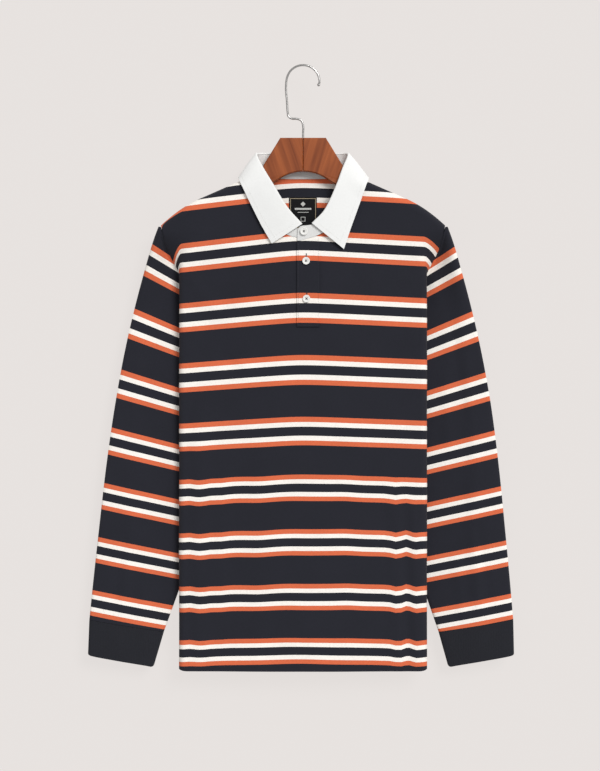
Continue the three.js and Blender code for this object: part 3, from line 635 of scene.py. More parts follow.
# %% Panels
ARMHOLE = [(206, -231), (199, -258), (193, -284), (191, -305), (196, -345), (212, -395), (242, -445),
           (CHEST_HALF, -480)]
RING = [0, 0.035, 0.1, 0.17, 0.24, 0.31, 0.42, 0.58, 0.76, 0.92, 1]
ARMHOLE_LOWS = [187.6, 188.3, 189, 189.7, 190.3, 190.9, 195.5, 206, 228, 259, CHEST_HALF]
FOLD_LOWS = [187.6, 186.8, 182.8, 178.8, 174.8, 170.8, 148, 110]
FOLD_TOPS = [206, 197, 188, 181.5, 176, 171, 148, 110]
YOKE_FROM = 110.0
NECK_FROM_DEGREES, NECK_TO_DEGREES = 90, 30
HOLE_COLUMNS, FOLD_COLUMNS, YOKE_COLUMNS, NECK_COLUMNS = 46, 34, 12, 18
ARMHOLE_WAIST_Z = -310.0
FAN_BELOW_TOP = 60.0
PLACKET_LEFT = -9.0
PLACKET_RIGHT = 24.0
SLOT_BOTTOM_Z = -373.0
PANEL_ROWS = 170
TOP_CROWDING = 1.35
HEM_CORNER = 3.0
HEM_CORNER_AT = 178.8
HEM_CORNER_WIDE = 5.0
NEAR = 0.01


def panel_columns(middle_z, centre):
    u = np.linspace(1, 0, HOLE_COLUMNS)
    hole = even_curve(ARMHOLE, u)
    low = np.interp(u, RING, ARMHOLE_LOWS)
    outer = [(a, b, c) for a, b, c in zip(low, hole[:, 0], hole[:, 1])]
    stops = np.linspace(0, 1, len(FOLD_LOWS))
    fold_low = np.interp(np.linspace(0, 1, FOLD_COLUMNS)[1:], stops, FOLD_LOWS)
    fold_high = np.interp(fold_low, FOLD_LOWS[::-1], FOLD_TOPS[::-1])
    middle = [(a, b, shoulder_z(b)) for a, b in zip(fold_low, fold_high)]
    yoke = [(p, p, shoulder_z(p)) for p in np.linspace(YOKE_FROM, NECK_HALF, YOKE_COLUMNS)[1:]]
    angles = np.radians(np.linspace(NECK_FROM_DEGREES, NECK_TO_DEGREES, NECK_COLUMNS)[1:])
    neck = [(p, p, neck_z(p, middle_z)) for p in NECK_HALF * np.sin(angles)]
    half = outer + middle + yoke + neck
    mid = [(p, p, neck_z(p, middle_z)) for p in centre]
    return np.array([(-a, -b, c) for a, b, c in half] + mid + half[::-1])


def panel_places(columns):
    share = np.linspace(0, 1, PANEL_ROWS) ** (1 / TOP_CROWDING)
    low, high, top = (columns[:, n][:, None] for n in range(3))
    hem = HEM_Z + HEM_CORNER * np.exp(-((np.abs(low) - HEM_CORNER_AT) / HEM_CORNER_WIDE) ** 2)
    z = mix(hem, top, share[None, :])
    fan_from = np.minimum(ARMHOLE_WAIST_Z, top - FAN_BELOW_TOP)
    p = mix(low, high, np.clip((z - fan_from) / (top - fan_from), 0, 1) ** 2)
    return p, z


def make_panel(name, node, columns, sign, creases, lower=0.0, slot=False):
    p, z = panel_places(columns)
    keep = None
    if slot:
        across = columns[:, 0]
        inside = (across >= PLACKET_LEFT - NEAR) & (across < PLACKET_RIGHT - NEAR)
        for i in np.where((across >= PLACKET_LEFT - NEAR) & (across <= PLACKET_RIGHT + NEAR))[0]:
            z[i, np.argmin(np.abs(z[i] - SLOT_BOTTOM_Z))] = SLOT_BOTTOM_Z
        low_row = np.argmin(np.abs(z - SLOT_BOTTOM_Z), axis=1)
        level = low_row[inside].max()
        keep = np.ones((len(columns) - 1, PANEL_ROWS - 1), bool)
        for i in np.where(inside)[0]:
            keep[i, level:] = False
    gap = half_gap(p, z) + body_lift(p, z, creases)
    outer = body_point(p, z, sign * (gap + CLOTH / 2))
    inner = body_point(p, z, sign * (gap - CLOTH / 2))
    maps = np.stack([p, z], -1)
    stripe = body_stripe(p, z, creases, lower)
    if sign < 0:
        outer, inner, maps, stripe = outer[::-1], inner[::-1], maps[::-1], stripe[::-1]
    panel = make_shell(name, outer, inner, JERSEY, maps, stripe, keep=keep)
    finish_piece(panel, "jersey", node)


CENTRE_HALF = 34
front_centre = [-CENTRE_HALF, -31, -28, -25, -22, -19, -16, -12, PLACKET_LEFT, -4, 1, 7.5, 13, 18,
                PLACKET_RIGHT, 27, 30, CENTRE_HALF]
make_panel("front_cloth", "front_panel", panel_columns(FRONT_NECK_Z, front_centre), 1, FRONT_CREASES,
           slot=True)
back_centre = list(np.linspace(-CENTRE_HALF, CENTRE_HALF, len(front_centre)))
make_panel("back_cloth", "back_panel", panel_columns(BACK_NECK_Z, back_centre), -1, BACK_CREASES,
           lower=BACK_GROUPS_LOWER)

# %% [markdown]
# ## Sleeves and cuffs
#
# A sleeve is a flattened tube. Its first ring is the armhole, the next turn it out again
# behind the side fold, and the rest run down to the cuff. It could be one lofted surface,
# but the turn needs its own rings, or the cloth would cut the corner. The right sleeve hangs
# a little closer in.

# %% Sleeves and cuffs
SLEEVE_OUTER = [(206.5, -231.5), (222, -268), (243, -342), (260, -416), (275, -500), (287, -585),
                (297, -672), (305, -745), (311, -804)]
SLEEVE_INNER = [(80, -480.5), (141, -651), (203, -822)]
CUFF_OUTER_END = np.array([313.0, -856.0])
CUFF_INNER_END = np.array([218.0, -873.0])
SLEEVE_HALF_GAP = 4.0
ROUND_STEPS = 56
TURN_STEPS = 16
DOWN_STEPS = 118
CUFF_CLOTH = 1.8
SLEEVE_CLEAR = 0.35
SLEEVE_PEAK_LOWER = 2.2
PEAK_SHARE = 0.04
BEHIND_Y, SLEEVE_COMES_FORWARD = 20.5, 8.0
FORWARD_FROM, FORWARD_OVER = 182.0, 90.0
SETTLES_BY = 0.3
HANGS_IN, HANGS_IN_BELOW_Z = 0.016, -490.0
CUFF_CORNER = 3.4
CUFF_CORNER_FROM = 0.93
ring = np.linspace(0, 1, ROUND_STEPS)
seam_line = even_curve(ARMHOLE, ring)
seam_line[:, 1] -= SLEEVE_PEAK_LOWER * np.exp(-(ring / PEAK_SHARE) ** 2)


def sleeve_turn(step):
    x0, y0, _, _, start = body_middle(seam_line[:, 0] + SLEEVE_CLEAR, seam_line[:, 1])
    gap = half_gap(seam_line[:, 0], seam_line[:, 1])
    radius = gap + FOLD_EASE
    angle = start * (1 - step / 3)
    between = (start + angle) / 2
    x = x0 + radius * (np.sin(start) - np.sin(angle)) + step * np.cos(between)
    y = y0 + radius * (np.cos(angle) - np.cos(start)) + step * np.sin(between)
    return dict(x=x, y=y, z=seam_line[:, 1], gap=gap, nx=np.sin(angle), ny=-np.cos(angle))


turned = sleeve_turn(3.0)
outer_line = [(turned["x"][0], turned["z"][0])] + SLEEVE_OUTER[1:]
inner_line = [(turned["x"][-1], turned["z"][-1])] + SLEEVE_INNER[1:]


def flat_gap(u):
    return mix(SEAM_HALF_GAP, SLEEVE_HALF_GAP, (1 - (2 * u - 1) ** 4) ** 0.25)


def rest_y(x):
    return BEHIND_Y - SLEEVE_COMES_FORWARD * smooth((x - FORWARD_FROM) / FORWARD_OVER)


def sleeve_below(b):
    outer, inner = flat_curve(outer_line, b), flat_curve(inner_line, b)
    fade = (1 - b) ** 2
    x = mix(outer[0], inner[0], ring) + fade * (turned["x"] - mix(turned["x"][0], turned["x"][-1], ring))
    z = mix(outer[1], inner[1], ring) + fade * (turned["z"] - mix(turned["z"][0], turned["z"][-1], ring))
    settle = smooth(b / SETTLES_BY)
    return dict(x=x, y=mix(turned["y"], rest_y(x), settle), z=z,
                gap=mix(turned["gap"], flat_gap(ring), settle), nx=0 * x, ny=0 * x - 1)


def cuff_ring(v):
    f = mix(SEAM_GAP / 50, 1, v)
    outer = mix(flat_curve(outer_line, 1.0), CUFF_OUTER_END, f)
    inner = mix(flat_curve(inner_line, 1.0), CUFF_INNER_END, f)
    round_share = max(0.0, (v - CUFF_CORNER_FROM) / (1 - CUFF_CORNER_FROM))
    corner = CUFF_CORNER * (1 - math.sqrt(max(0.0, 1 - round_share ** 2)))
    x = mix(outer[0], inner[0], ring) + corner * np.where(ring < 0.5, -1, 1) * np.abs(2 * ring - 1) ** 6
    z = mix(outer[1], inner[1], ring)
    return dict(x=x, y=rest_y(x), z=z, gap=flat_gap(ring), nx=0 * x, ny=0 * x - 1)


def swing(side, z):
    return HANGS_IN * np.maximum(0, HANGS_IN_BELOW_Z - z) if side > 0 else 0 * z


def tube_faces(side, rings, wall, creases):
    """The outer and the inner face of a flat tube, from its rings of middle points."""
    made = []
    for sign in (1, -1):
        loops = []
        for m in rings:
            width = np.hypot(np.diff(m["x"]), np.diff(m["z"]))
            near = {k: m[k].copy() for k in ("x", "y", "z")}
            if sign < 0:
                for end, beside, length in ((0, 1, width[0]), (-1, -2, width[-1])):
                    for k in near:
                        near[k][end] = mix(m[k][end], m[k][beside], min(0.95, wall / max(length, 0.1)))
            lift = crease_lift(near["x"], near["z"], creases)
            lift = lift * np.sin(np.pi * ring) ** 0.5 * smooth((-300 - near["z"]) / 60)
            lift = lift * smooth((near["z"] + 822) / 30) if wall == CLOTH else 0 * lift
            for face in (1, -1):
                off = face * (m["gap"] + sign * wall / 2) + lift
                x = near["x"] + off * m["nx"]
                x = side * (x - swing(side, near["z"]))
                line = np.stack([x, near["y"] + off * m["ny"], near["z"]], -1)
                loops.append(line if face > 0 else line[::-1])
        rows = [np.concatenate([loops[n], loops[n + 1]]) for n in range(0, len(loops), 2)]
        grid = np.stack(rows, 1)
        made.append(grid if side < 0 else grid[::-1])
    return made


def make_tube(name, node, side, rings, wall, finish, slot, striped):
    outer, inner = tube_faces(side, rings, wall, SLEEVE_CREASES)
    across = np.abs(outer[..., 0])
    stripe = sleeve_stripe(outer[..., 0], outer[..., 2], side) if striped else None
    maps = np.stack([across, outer[..., 2]], -1)
    tube = make_shell(name, outer, inner, finish, maps, stripe, tube=True)
    finish_piece(tube, slot, node)
    return tube


corner_turn = np.sin(np.linspace(math.pi / 2, 0, 10))
cuff_places = np.concatenate([mix(CUFF_CORNER_FROM, 1, corner_turn), np.linspace(0.9, 0, 20)])
for name, side in (("left", -1), ("right", 1)):
    sleeve_rings = [sleeve_below(b) for b in np.linspace(1, 0, DOWN_STEPS, endpoint=False)]
    sleeve_rings += [sleeve_turn(step) for step in np.linspace(3, 0, TURN_STEPS)]
    make_tube("sleeve_%s_cloth" % name, "sleeve_" + name, side, sleeve_rings, CLOTH, JERSEY, "jersey",
              True)
    cuff_rings = [cuff_ring(v) for v in cuff_places]
    make_tube("cuff_%s_cloth" % name, "cuff_" + name, side, cuff_rings, CUFF_CLOTH, RIB, "rib",
              False)

# %% [markdown]
# ## Placket
#
# The placket is two bands in the front's slot: the under band fills it, and the over band
# lies on top and carries the buttonholes. Both are the same jersey, with stripes that meet
# the front's.

# %% Placket
OVER_LAYER = 1.75
COLLAR_CLOTH = 1.4
PLACKET_BOTTOM_Z = -378.0
OVER_TOP_LEFT_Z = -255.5
OVER_TOP_RIGHT_Z = -246.0


def over_top_z(p):
    return mix(OVER_TOP_LEFT_Z, OVER_TOP_RIGHT_Z, (p - PLACKET_LEFT) / (PLACKET_RIGHT - PLACKET_LEFT))


def make_layer(name, node, p_range, bottom, top_of, sign, off, wall, finish, slot, steps, striped):
    p = np.linspace(*p_range, steps[0])[:, None] + np.zeros(steps[1])
    top = top_of(p[:, :1])
    z = mix(bottom, top, np.linspace(0, 1, steps[1])[None, :])
    creases = FRONT_CREASES if sign > 0 else BACK_CREASES
    gap = half_gap(p, z) + body_lift(p, z, creases) + off
    outer = body_point(p, z, sign * (gap + wall / 2))
    inner = body_point(p, z, sign * (gap - wall / 2))
    stripe = body_stripe(p, z, creases) if striped else None
    maps = np.stack([p, z], -1)
    piece = make_shell(name, outer, inner, finish, maps, stripe)
    finish_piece(piece, slot, node)


make_layer("placket_under_cloth", "placket_under", (PLACKET_LEFT + SEAM_GAP, PLACKET_RIGHT - SEAM_GAP),
           SLOT_BOTTOM_Z + SEAM_GAP, lambda p: neck_z(p, FRONT_NECK_Z), 1, 0.0, CLOTH, JERSEY, "jersey",
           (20, 60), True)
make_layer("placket_over_cloth", "placket_over", (PLACKET_LEFT, PLACKET_RIGHT), PLACKET_BOTTOM_Z,
           over_top_z, 1, OVER_LAYER, COLLAR_CLOTH, JERSEY, "jersey", (20, 70), True)

# %% [markdown]
# ## Label
#
# The label is black satin, woven with a thin beige border. Its motif is a plain one: a
# diamond, two bars and a small square. All are drawn by the shader from the label's own map,
# because they are far too thin to be worth a mesh.

# %% Label
LABEL_TOP_Z = -189.0
LABEL_HIGH = 46.0
LABEL_HALF = 20.0
LABEL_THICK = 0.8
BEIGE = (0.40, 0.33, 0.22, 1)


def make_label_finish():
    """Black satin; a border, a diamond, two bars and a square are drawn from the label's own map."""
    material, shader = new_finish("label_satin", 0.75, Specular_IOR_Level=0.2)
    spot = add_node(material, "ShaderNodeSeparateXYZ",
                    {0: add_node(material, "ShaderNodeUVMap", uv_map="cloth").outputs[0]})
    across = maths(material, "ABSOLUTE", spot.outputs[0])
    up = maths(material, "SUBTRACT", spot.outputs[1], (LABEL_TOP_Z - LABEL_HIGH / 2) * MM)
    height = maths(material, "ABSOLUTE", up)

    def within(value, limit):
        return maths(material, "LESS_THAN", value, limit)

    edge = maths(material, "MULTIPLY", within(across, 18.6 * MM), within(height, 21.4 * MM))
    field = maths(material, "MULTIPLY", within(across, 17.8 * MM), within(height, 20.6 * MM))
    marks = maths(material, "SUBTRACT", edge, field)
    from_diamond = maths(material, "ABSOLUTE", maths(material, "SUBTRACT", up, 13 * MM))
    motif = within(maths(material, "ADD", across, from_diamond), 3.6 * MM)
    for bar_up, bar_half, bar_tall in ((6, 12, 1.3), (1, 8, 0.4)):
        from_bar = maths(material, "ABSOLUTE", maths(material, "SUBTRACT", up, bar_up * MM))
        bar = maths(material, "MULTIPLY", within(from_bar, bar_tall * MM), within(across, bar_half * MM))
        motif = maths(material, "ADD", motif, bar)
    square_up = maths(material, "ABSOLUTE", maths(material, "SUBTRACT", up, -9 * MM))
    furthest = maths(material, "MAXIMUM", across, square_up)
    outline = maths(material, "SUBTRACT", within(furthest, 3.4 * MM), within(furthest, 2.6 * MM))
    motif = maths(material, "ADD", motif, outline)
    colour = add_node(material, "ShaderNodeMix", data_type="RGBA")
    colour.inputs[6].default_value = (0.004, 0.004, 0.005, 1)
    colour.inputs[7].default_value = BEIGE
    link(material, marks, colour.inputs[0])
    printed = add_node(material, "ShaderNodeMix", data_type="RGBA")
    printed.inputs[7].default_value = (0.55, 0.55, 0.53, 1)
    link(material, colour.outputs[2], printed.inputs[6])
    link(material, motif, printed.inputs[0])
    link(material, printed.outputs[2], shader.inputs["Base Color"])
    return material


label_off = -(CLOTH + LABEL_THICK) / 2 - SEAM_GAP
make_layer("neck_label_cloth", "neck_label", (LABEL_HALF, -LABEL_HALF), LABEL_TOP_Z - LABEL_HIGH,
           lambda p: LABEL_TOP_Z + 0 * p, -1, label_off, LABEL_THICK, make_label_finish(), "label",
           (24, 28), False)

# %% [markdown]
# ## Collar leaf
#
# A rugby collar is woven twill on a knitted shirt. Its leaf turns over the stand and falls
# outside to two points. It is a strip of cross-sections set along the neck, which keeps the
# fold's small round edge all the way.

# %% Collar leaf
FOLD_LINE = [(-1.5, -14.8, -230), (-22, -15.8, -207), (-45.5, -14.2, -169), (-58, -9.5, -148),
             (-66.5, -0.5, -128.5), (-60, 9, -125.8), (-42, 12.5, -125.2), (0, 13.5, -125),
             (42, 12.5, -125.2), (58.5, 9, -125.8), (64.5, -0.5, -128.5), (57, -9.5, -150),
             (48.5, -14.2, -173), (31, -15.8, -210), (13, -15.2, -229)]
LEAF_EDGE = [(-45, -14.2, -258), (-60, -14, -232), (-79, -13.6, -194), (-88.5, -12.8, -174),
             (-94, -0.5, -162.5), (-88, 13.5, -172), (-68, 15.5, -183), (0, 16.2, -186),
             (68, 15.5, -183), (88, 13.5, -172), (95, -0.5, -162.5), (91, -12.8, -174),
             (83, -13.6, -197), (69, -14, -236), (59, -14.2, -266)]
LAST_STATION = len(FOLD_LINE) - 1
FOLD_ROLL = 1.15
LEAF_STATIONS = 190
LEAF_ACROSS = 40
LEAF_BELOW_ROLL = 24
ROLL_FROM = 0.9
SMALL_STEP = 0.0005


def unit(v):
    return v / np.linalg.norm(v, axis=-1, keepdims=True)


def leaf_section(t):
    fold, edge = space_curve(FOLD_LINE, t), space_curve(LEAF_EDGE, t)
    before, after = max(0, t - SMALL_STEP), min(1, t + SMALL_STEP)
    tangent = unit(space_curve(FOLD_LINE, after) - space_curve(FOLD_LINE, before))
    length = np.linalg.norm(edge - fold)
    down = (edge - fold) / length
    out = unit(np.cross(tangent, down))
    r = FOLD_ROLL
    profile = [(length * 0.72, r), (length * 0.4, r * 1.9), (r * 3, r * 2.1), (r, r * 2),
               (r * 0.3, r * 1.7), (0, r), (r * 0.3, r * 0.3), (r * 1.1, 0)]
    points = np.vstack([edge] + [fold + down * along + out * off for along, off in profile])
    run = np.concatenate([[0], np.cumsum(np.linalg.norm(np.diff(points, axis=0), axis=1))])
    share = np.concatenate([np.linspace(0, ROLL_FROM, LEAF_BELOW_ROLL, endpoint=False),
                            np.linspace(ROLL_FROM, 1, LEAF_ACROSS - LEAF_BELOW_ROLL)])
    place = np.interp(share * run[-1], run, np.linspace(0, 1, len(points)))
    return space_curve(points, place)


def thicken(middle, wall):
    across = np.gradient(middle, axis=0)
    along = np.gradient(middle, axis=1)
    normal = unit(np.cross(across, along))
    return middle + normal * wall / 2, middle - normal * wall / 2


def strip_map(middle):
    run = np.cumsum(np.linalg.norm(np.gradient(middle, axis=0), axis=-1), axis=0)
    rise = np.cumsum(np.linalg.norm(np.gradient(middle, axis=1), axis=-1), axis=1)
    return np.stack([run, rise], -1)


leaf_middle = np.stack([leaf_section(t) for t in np.linspace(1, 0, LEAF_STATIONS)])
leaf_outer, leaf_inner = thicken(leaf_middle, COLLAR_CLOTH)
leaf = make_shell("collar_leaf_cloth", leaf_outer, leaf_inner, TWILL, strip_map(leaf_middle))
finish_piece(leaf, "twill", "collar_leaf")

# %% [markdown]
# ## Collar stand
#
# The stand rises from the neckline inside the leaf. Its lower edge follows the seam round the
# neck and over the placket, and its upper edge runs just under the fold. A strip between the
# two lines is all it needs.

# %% Collar stand
STAND_BELOW_FOLD = 1.5
NECK_SEAM_INSET = 1.1


def seam_point(sideways, degrees, sign, off=0.0):
    middle_z = FRONT_NECK_Z if sign > 0 else BACK_NECK_Z
    angle = math.radians(degrees)
    p = sideways * (NECK_HALF - NECK_SEAM_INSET) * math.sin(angle)
    z = NECK_POINT_Z - (NECK_POINT_Z - middle_z - SEAM_GAP) * math.cos(angle)
    return body_point(np.array(p), np.array(z), sign * (half_gap(p, z) + off))


def neck_degrees(p):
    return math.degrees(math.asin(p / NECK_HALF))


def below_fold(station, bottom):
    fold = space_curve(FOLD_LINE, station / LAST_STATION)
    return fold + unit(bottom - fold) * STAND_BELOW_FOLD


def over_band(p, above):
    z = over_top_z(p) + above
    return body_point(np.array(float(p)), np.array(float(z)), half_gap(p, z) + OVER_LAYER)


def level_top(x, z, bottom):
    return np.array([x, bottom[1] - 0.2, z])


def stand_sections():
    front_ends = [(seam_point(1, neck_degrees(20), 1), 19, -234),
                  (seam_point(1, neck_degrees(7.5), 1), 7.5, -233),
                  (seam_point(-1, neck_degrees(9), 1), -8, -236)]
    round_neck = [(-1, neck_degrees(27), 1, 0.9), (-1, 38, 1, 1.5), (-1, 54, 1, 2.1), (-1, 70, 1, 3),
                  (-1, 82, 1, 3.5), (-1, 90, 1, 4), (-1, 82, -1, 4.3), (-1, 70, -1, 4.6),
                  (-1, 54, -1, 5.2), (-1, 38, -1, 5.9), (-1, neck_degrees(24), -1, 6.4), (1, 0, -1, 7),
                  (1, neck_degrees(24), -1, 7.6), (1, 38, -1, 8.1), (1, 54, -1, 8.8),
                  (1, 70, -1, 9.4), (1, 82, -1, 9.7), (1, 90, 1, 10), (1, 82, 1, 10.5),
                  (1, 70, 1, 11), (1, 54, 1, 11.9), (1, 38, 1, 12.5)]
    over_ends = [(over_band(16, SEAM_GAP), 15.5, -229.5), (over_band(7.5, SEAM_GAP), 7.5, -231.5),
                 (over_band(-5, SEAM_GAP), -3.5, -233), (over_band(-8.5, 1.5), -7.5, -237)]
    pairs = [(bottom, level_top(x, z, bottom)) for bottom, x, z in front_ends]
    for sideways, degrees, sign, station in round_neck:
        bottom = seam_point(sideways, degrees, sign)
        pairs.append((bottom, below_fold(station, bottom)))
    for p, off, station in ((34, 0.7, 12.9), (24, OVER_LAYER, 13.3)):
        bottom = seam_point(1, neck_degrees(p), 1, off)
        pairs.append((bottom, below_fold(station, bottom)))
    return pairs + [(bottom, level_top(x, z, bottom)) for bottom, x, z in over_ends]


pairs = stand_sections()
along = np.linspace(1, 0, 150)
bottom_line = space_curve([b for b, _ in pairs], along)
top_line = space_curve([t for _, t in pairs], along)
stand_middle = mix(bottom_line[:, None], top_line[:, None], np.linspace(0, 1, 14)[None, :, None])
stand_outer, stand_inner = thicken(stand_middle, COLLAR_CLOTH)
# The stand gets the greyer twill, which is painted shade from the leaf above it.
stand = make_shell("collar_stand_cloth", stand_outer, stand_inner, STAND_TWILL_PAINTED_SHADE, strip_map(stand_middle))
finish_piece(stand, "twill", "collar_stand")

# %% [markdown]
# ## Stitches
#
# A row of machine stitches is a line of short threads, each thinner at its ends. A thread has
# only a few faces, and a whole row is one mesh.

# %% Stitches
def thread_finish(name, colour):
    material, shader = new_finish(name, 0.6, Sheen_Weight=0.1)
    twist = add_node(material, "ShaderNodeTexWave", {"Scale": 900.0,
                     "Vector": add_node(material, "ShaderNodeTexCoord").outputs["Object"]})
    bump = add_node(material, "ShaderNodeBump",
                    {"Strength": 0.3, "Distance": 0.0001, "Height": twist.outputs["Fac"]})
    link(material, bump.outputs[0], shader.inputs["Normal"])
    shader.inputs["Base Color"].default_value = colour
    return material


NAVY_THREAD = thread_finish("navy_thread", (0.020, 0.021, 0.030, 1))
WHITE_THREAD = thread_finish("white_thread", (0.80, 0.80, 0.78, 1))


def at_run(length, run, values):
    return np.array([np.interp(length, run, values[:, n]) for n in range(3)])


def stitch_row(name, line, outward, finish, slot, pitch=3.0, long=2.1, thick=0.42, sides=6):
    """Short round threads along a line of points, in millimetres, with the way out at each."""
    line = np.array(line, float)
    run = np.concatenate([[0], np.cumsum(np.linalg.norm(np.diff(line, axis=0), axis=1))])
    starts = np.arange(0.5, run[-1] - long, pitch)
    points, faces = [], []
    for start in starts:
        a, b = (at_run(s, run, line) for s in (start, start + long))
        out = at_run(start, run, np.array(outward))
        ahead = unit(b - a)
        side = unit(np.cross(ahead, out))
        for share, swell in ((0, 0.35), (0.25, 1), (0.75, 1), (1, 0.35)):
            for n in range(sides):
                turn = 2 * math.pi * n / sides
                away = side * math.cos(turn) + out * math.sin(turn)
                points.append(a + (b - a) * share + thick / 2 * swell * away)
        base = len(points) - 4 * sides
        for r in range(3):
            for n in range(sides):
                m = (n + 1) % sides
                near, far = base + r * sides, base + (r + 1) * sides
                faces.append([near + n, near + m, far + m, far + n])
        faces.append([base + n for n in reversed(range(sides))])
        faces.append([base + 3 * sides + n for n in range(sides)])
    mesh = bpy.data.meshes.new(name)
    mesh.from_pydata((np.array(points) * MM).tolist(), [], faces)
    mesh.materials.append(finish)
    mesh.shade_smooth()
    row = bpy.data.objects.new(name, mesh)
    bpy.context.scene.collection.objects.link(row)
    finish_piece(row, slot)
    print(name, len(starts), "stitches")


def on_front(path_pz, off):
    path_pz = np.array(path_pz, float)
    share = np.linspace(0, 1, 30)[:, None]
    steps = np.vstack([mix(a, b, share) for a, b in zip(path_pz[:-1], path_pz[1:])])
    p, z = steps[:, 0], steps[:, 1]
    line = body_point(p, z, half_gap(p, z) + body_lift(p, z, FRONT_CREASES) + off)
    return line, np.tile([0, -1.0, 0], (len(line), 1))


over_face = OVER_LAYER + COLLAR_CLOTH / 2 + 0.1
STITCH_LEFT, STITCH_RIGHT = PLACKET_LEFT + 2, PLACKET_RIGHT - 2
STITCH_LOW_Z, BOX_HIGH_Z, BOX_LOW_Z = -366, -368, -376
edge_route = [(STITCH_LEFT, -258), (STITCH_LEFT, STITCH_LOW_Z)]
side_route = [(STITCH_RIGHT, -250), (STITCH_RIGHT, STITCH_LOW_Z)]
box_route = [(STITCH_LEFT, BOX_HIGH_Z), (STITCH_RIGHT, BOX_HIGH_Z), (STITCH_RIGHT, BOX_LOW_Z),
             (STITCH_LEFT, BOX_LOW_Z), (STITCH_LEFT, BOX_HIGH_Z)]
stitch_row("placket_edge_stitches", *on_front(edge_route, over_face), NAVY_THREAD, "jersey")
stitch_row("placket_side_stitches", *on_front(side_route, over_face), NAVY_THREAD, "jersey", thick=0.2)
stitch_row("placket_box_stitches", *on_front(box_route, over_face), NAVY_THREAD, "jersey", thick=0.3)

LEAF_STITCH_IN = 4
LEAF_STITCH_END = 22
leaf_line = leaf_outer[:, LEAF_STITCH_IN]
leaf_out = unit(leaf_outer[:, LEAF_STITCH_IN] - leaf_inner[:, LEAF_STITCH_IN])
stitch_row("collar_stitches", leaf_line + leaf_out * 0.1, leaf_out, WHITE_THREAD, "twill")
for corner, name in ((3, "right"), (-4, "left")):
    point_line = leaf_outer[corner, LEAF_STITCH_IN:LEAF_STITCH_END] + leaf_out[corner] * 0.1
    point_out = np.tile(leaf_out[corner], (len(point_line), 1))
    stitch_row("collar_point_stitches_" + name, point_line, point_out, WHITE_THREAD, "twill")

# %% [markdown]
# ## Buttons
#
# The buttons are turned resin discs with a rounded rim, a dished middle and four holes. One
# is modelled from a cylinder and copied to its three places. Navy thread crosses its holes.

# %% Buttons
BUTTON_R = 5.4
BUTTON_THICK = 2.2
BUTTONS = [(1.3, -240.5, 1.2), (4.4, -283, 0.4), (5, -337.5, 0.4)]
HOLE_FROM_MIDDLE = 1.45

resin, resin_shader = new_finish("button_resin", 0.28, Coat_Weight=0.25)
cloud = add_node(resin, "ShaderNodeTexNoise", {"Scale": 260.0,
                 "Vector": add_node(resin, "ShaderNodeTexCoord").outputs["Object"]})
pearl = add_node(resin, "ShaderNodeValToRGB", {0: cloud.outputs[0]})
pearl.color_ramp.elements[0].color = (0.80, 0.79, 0.75, 1)
pearl.color_ramp.elements[1].color = (0.90, 0.89, 0.86, 1)
link(resin, pearl.outputs[0], resin_shader.inputs["Base Color"])


def model_button():
    bpy.ops.object.select_all(action="DESELECT")
    bpy.ops.mesh.primitive_cylinder_add(vertices=48, radius=BUTTON_R * MM, depth=BUTTON_THICK * MM)
    button = bpy.context.object
    bpy.ops.object.mode_set(mode="EDIT")
    bpy.ops.mesh.select_all(action="DESELECT")
    bpy.ops.object.mode_set(mode="OBJECT")
    for face in button.data.polygons:
        face.select = face.normal.z > 0.9
    bpy.ops.object.mode_set(mode="EDIT")
    bpy.ops.mesh.inset(thickness=1.3 * MM)
    bpy.ops.mesh.inset(thickness=0.5 * MM, depth=-0.5 * MM)
    bpy.ops.object.mode_set(mode="OBJECT")
    away = HOLE_FROM_MIDDLE * MM
    for n in range(4):
        angle = (n + 0.5) * math.pi / 2
        bpy.ops.mesh.primitive_cylinder_add(
            vertices=16, radius=0.75 * MM, depth=3 * BUTTON_THICK * MM,
            location=(away * math.cos(angle), away * math.sin(angle), 0))
        drill = bpy.context.object
        cut = button.modifiers.new("hole", "BOOLEAN")
        cut.operation = "DIFFERENCE"
        cut.solver = "EXACT"
        cut.object = drill
        bpy.context.view_layer.objects.active = button
        bpy.ops.object.modifier_apply(modifier="hole")
        bpy.data.objects.remove(drill)
    soft = button.modifiers.new("edge", "BEVEL")
    soft.width = 0.35 * MM
    soft.segments = 3
    soft.limit_method = "ANGLE"
    bpy.ops.object.modifier_apply(modifier="edge")
    button.data.transform(Matrix.Rotation(math.pi / 2, 4, "X"))
    button.data.materials.append(resin)
    return button


master = model_button()
print("button", len(master.data.polygons), "faces")
for number, (x, z, off) in enumerate(BUTTONS, 1):
    low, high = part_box("button_%d" % number)
    middle = (low + high) / 2
    copy = bpy.data.objects.new("button_%d_turned" % number, master.data.copy())
    copy.data.transform(Matrix.Translation(middle))
    bpy.context.scene.collection.objects.link(copy)
    smooth_below(copy, 40)
    finish_piece(copy, "button", "button_%d" % number)
    cx, cz = middle.x / MM, middle.z / MM
    arm = HOLE_FROM_MIDDLE * math.sqrt(0.5)
    face_y = low.y / MM + 0.35
    for k, (sx, sz) in enumerate(((1, 1), (1, -1))):
        ends = [(cx - arm * sx, face_y, cz - arm * sz), (cx + arm * sx, face_y, cz + arm * sz)]
        stitch_row("button_%d_thread_%d" % (number, k), np.linspace(*map(np.array, ends), 4) + 0.0,
                   np.tile([0, -1.0, 0], (4, 1)), NAVY_THREAD, "jersey", pitch=9,
                   long=2 * arm - 0.55, thick=1.25)
bpy.data.objects.remove(master)

# %% [markdown]
# ## Buttonholes
#
# A buttonhole shows above and below its button, as a short dark upright mark. Only its edging
# is made, a close ring of short thick threads. No slit is cut in the band.

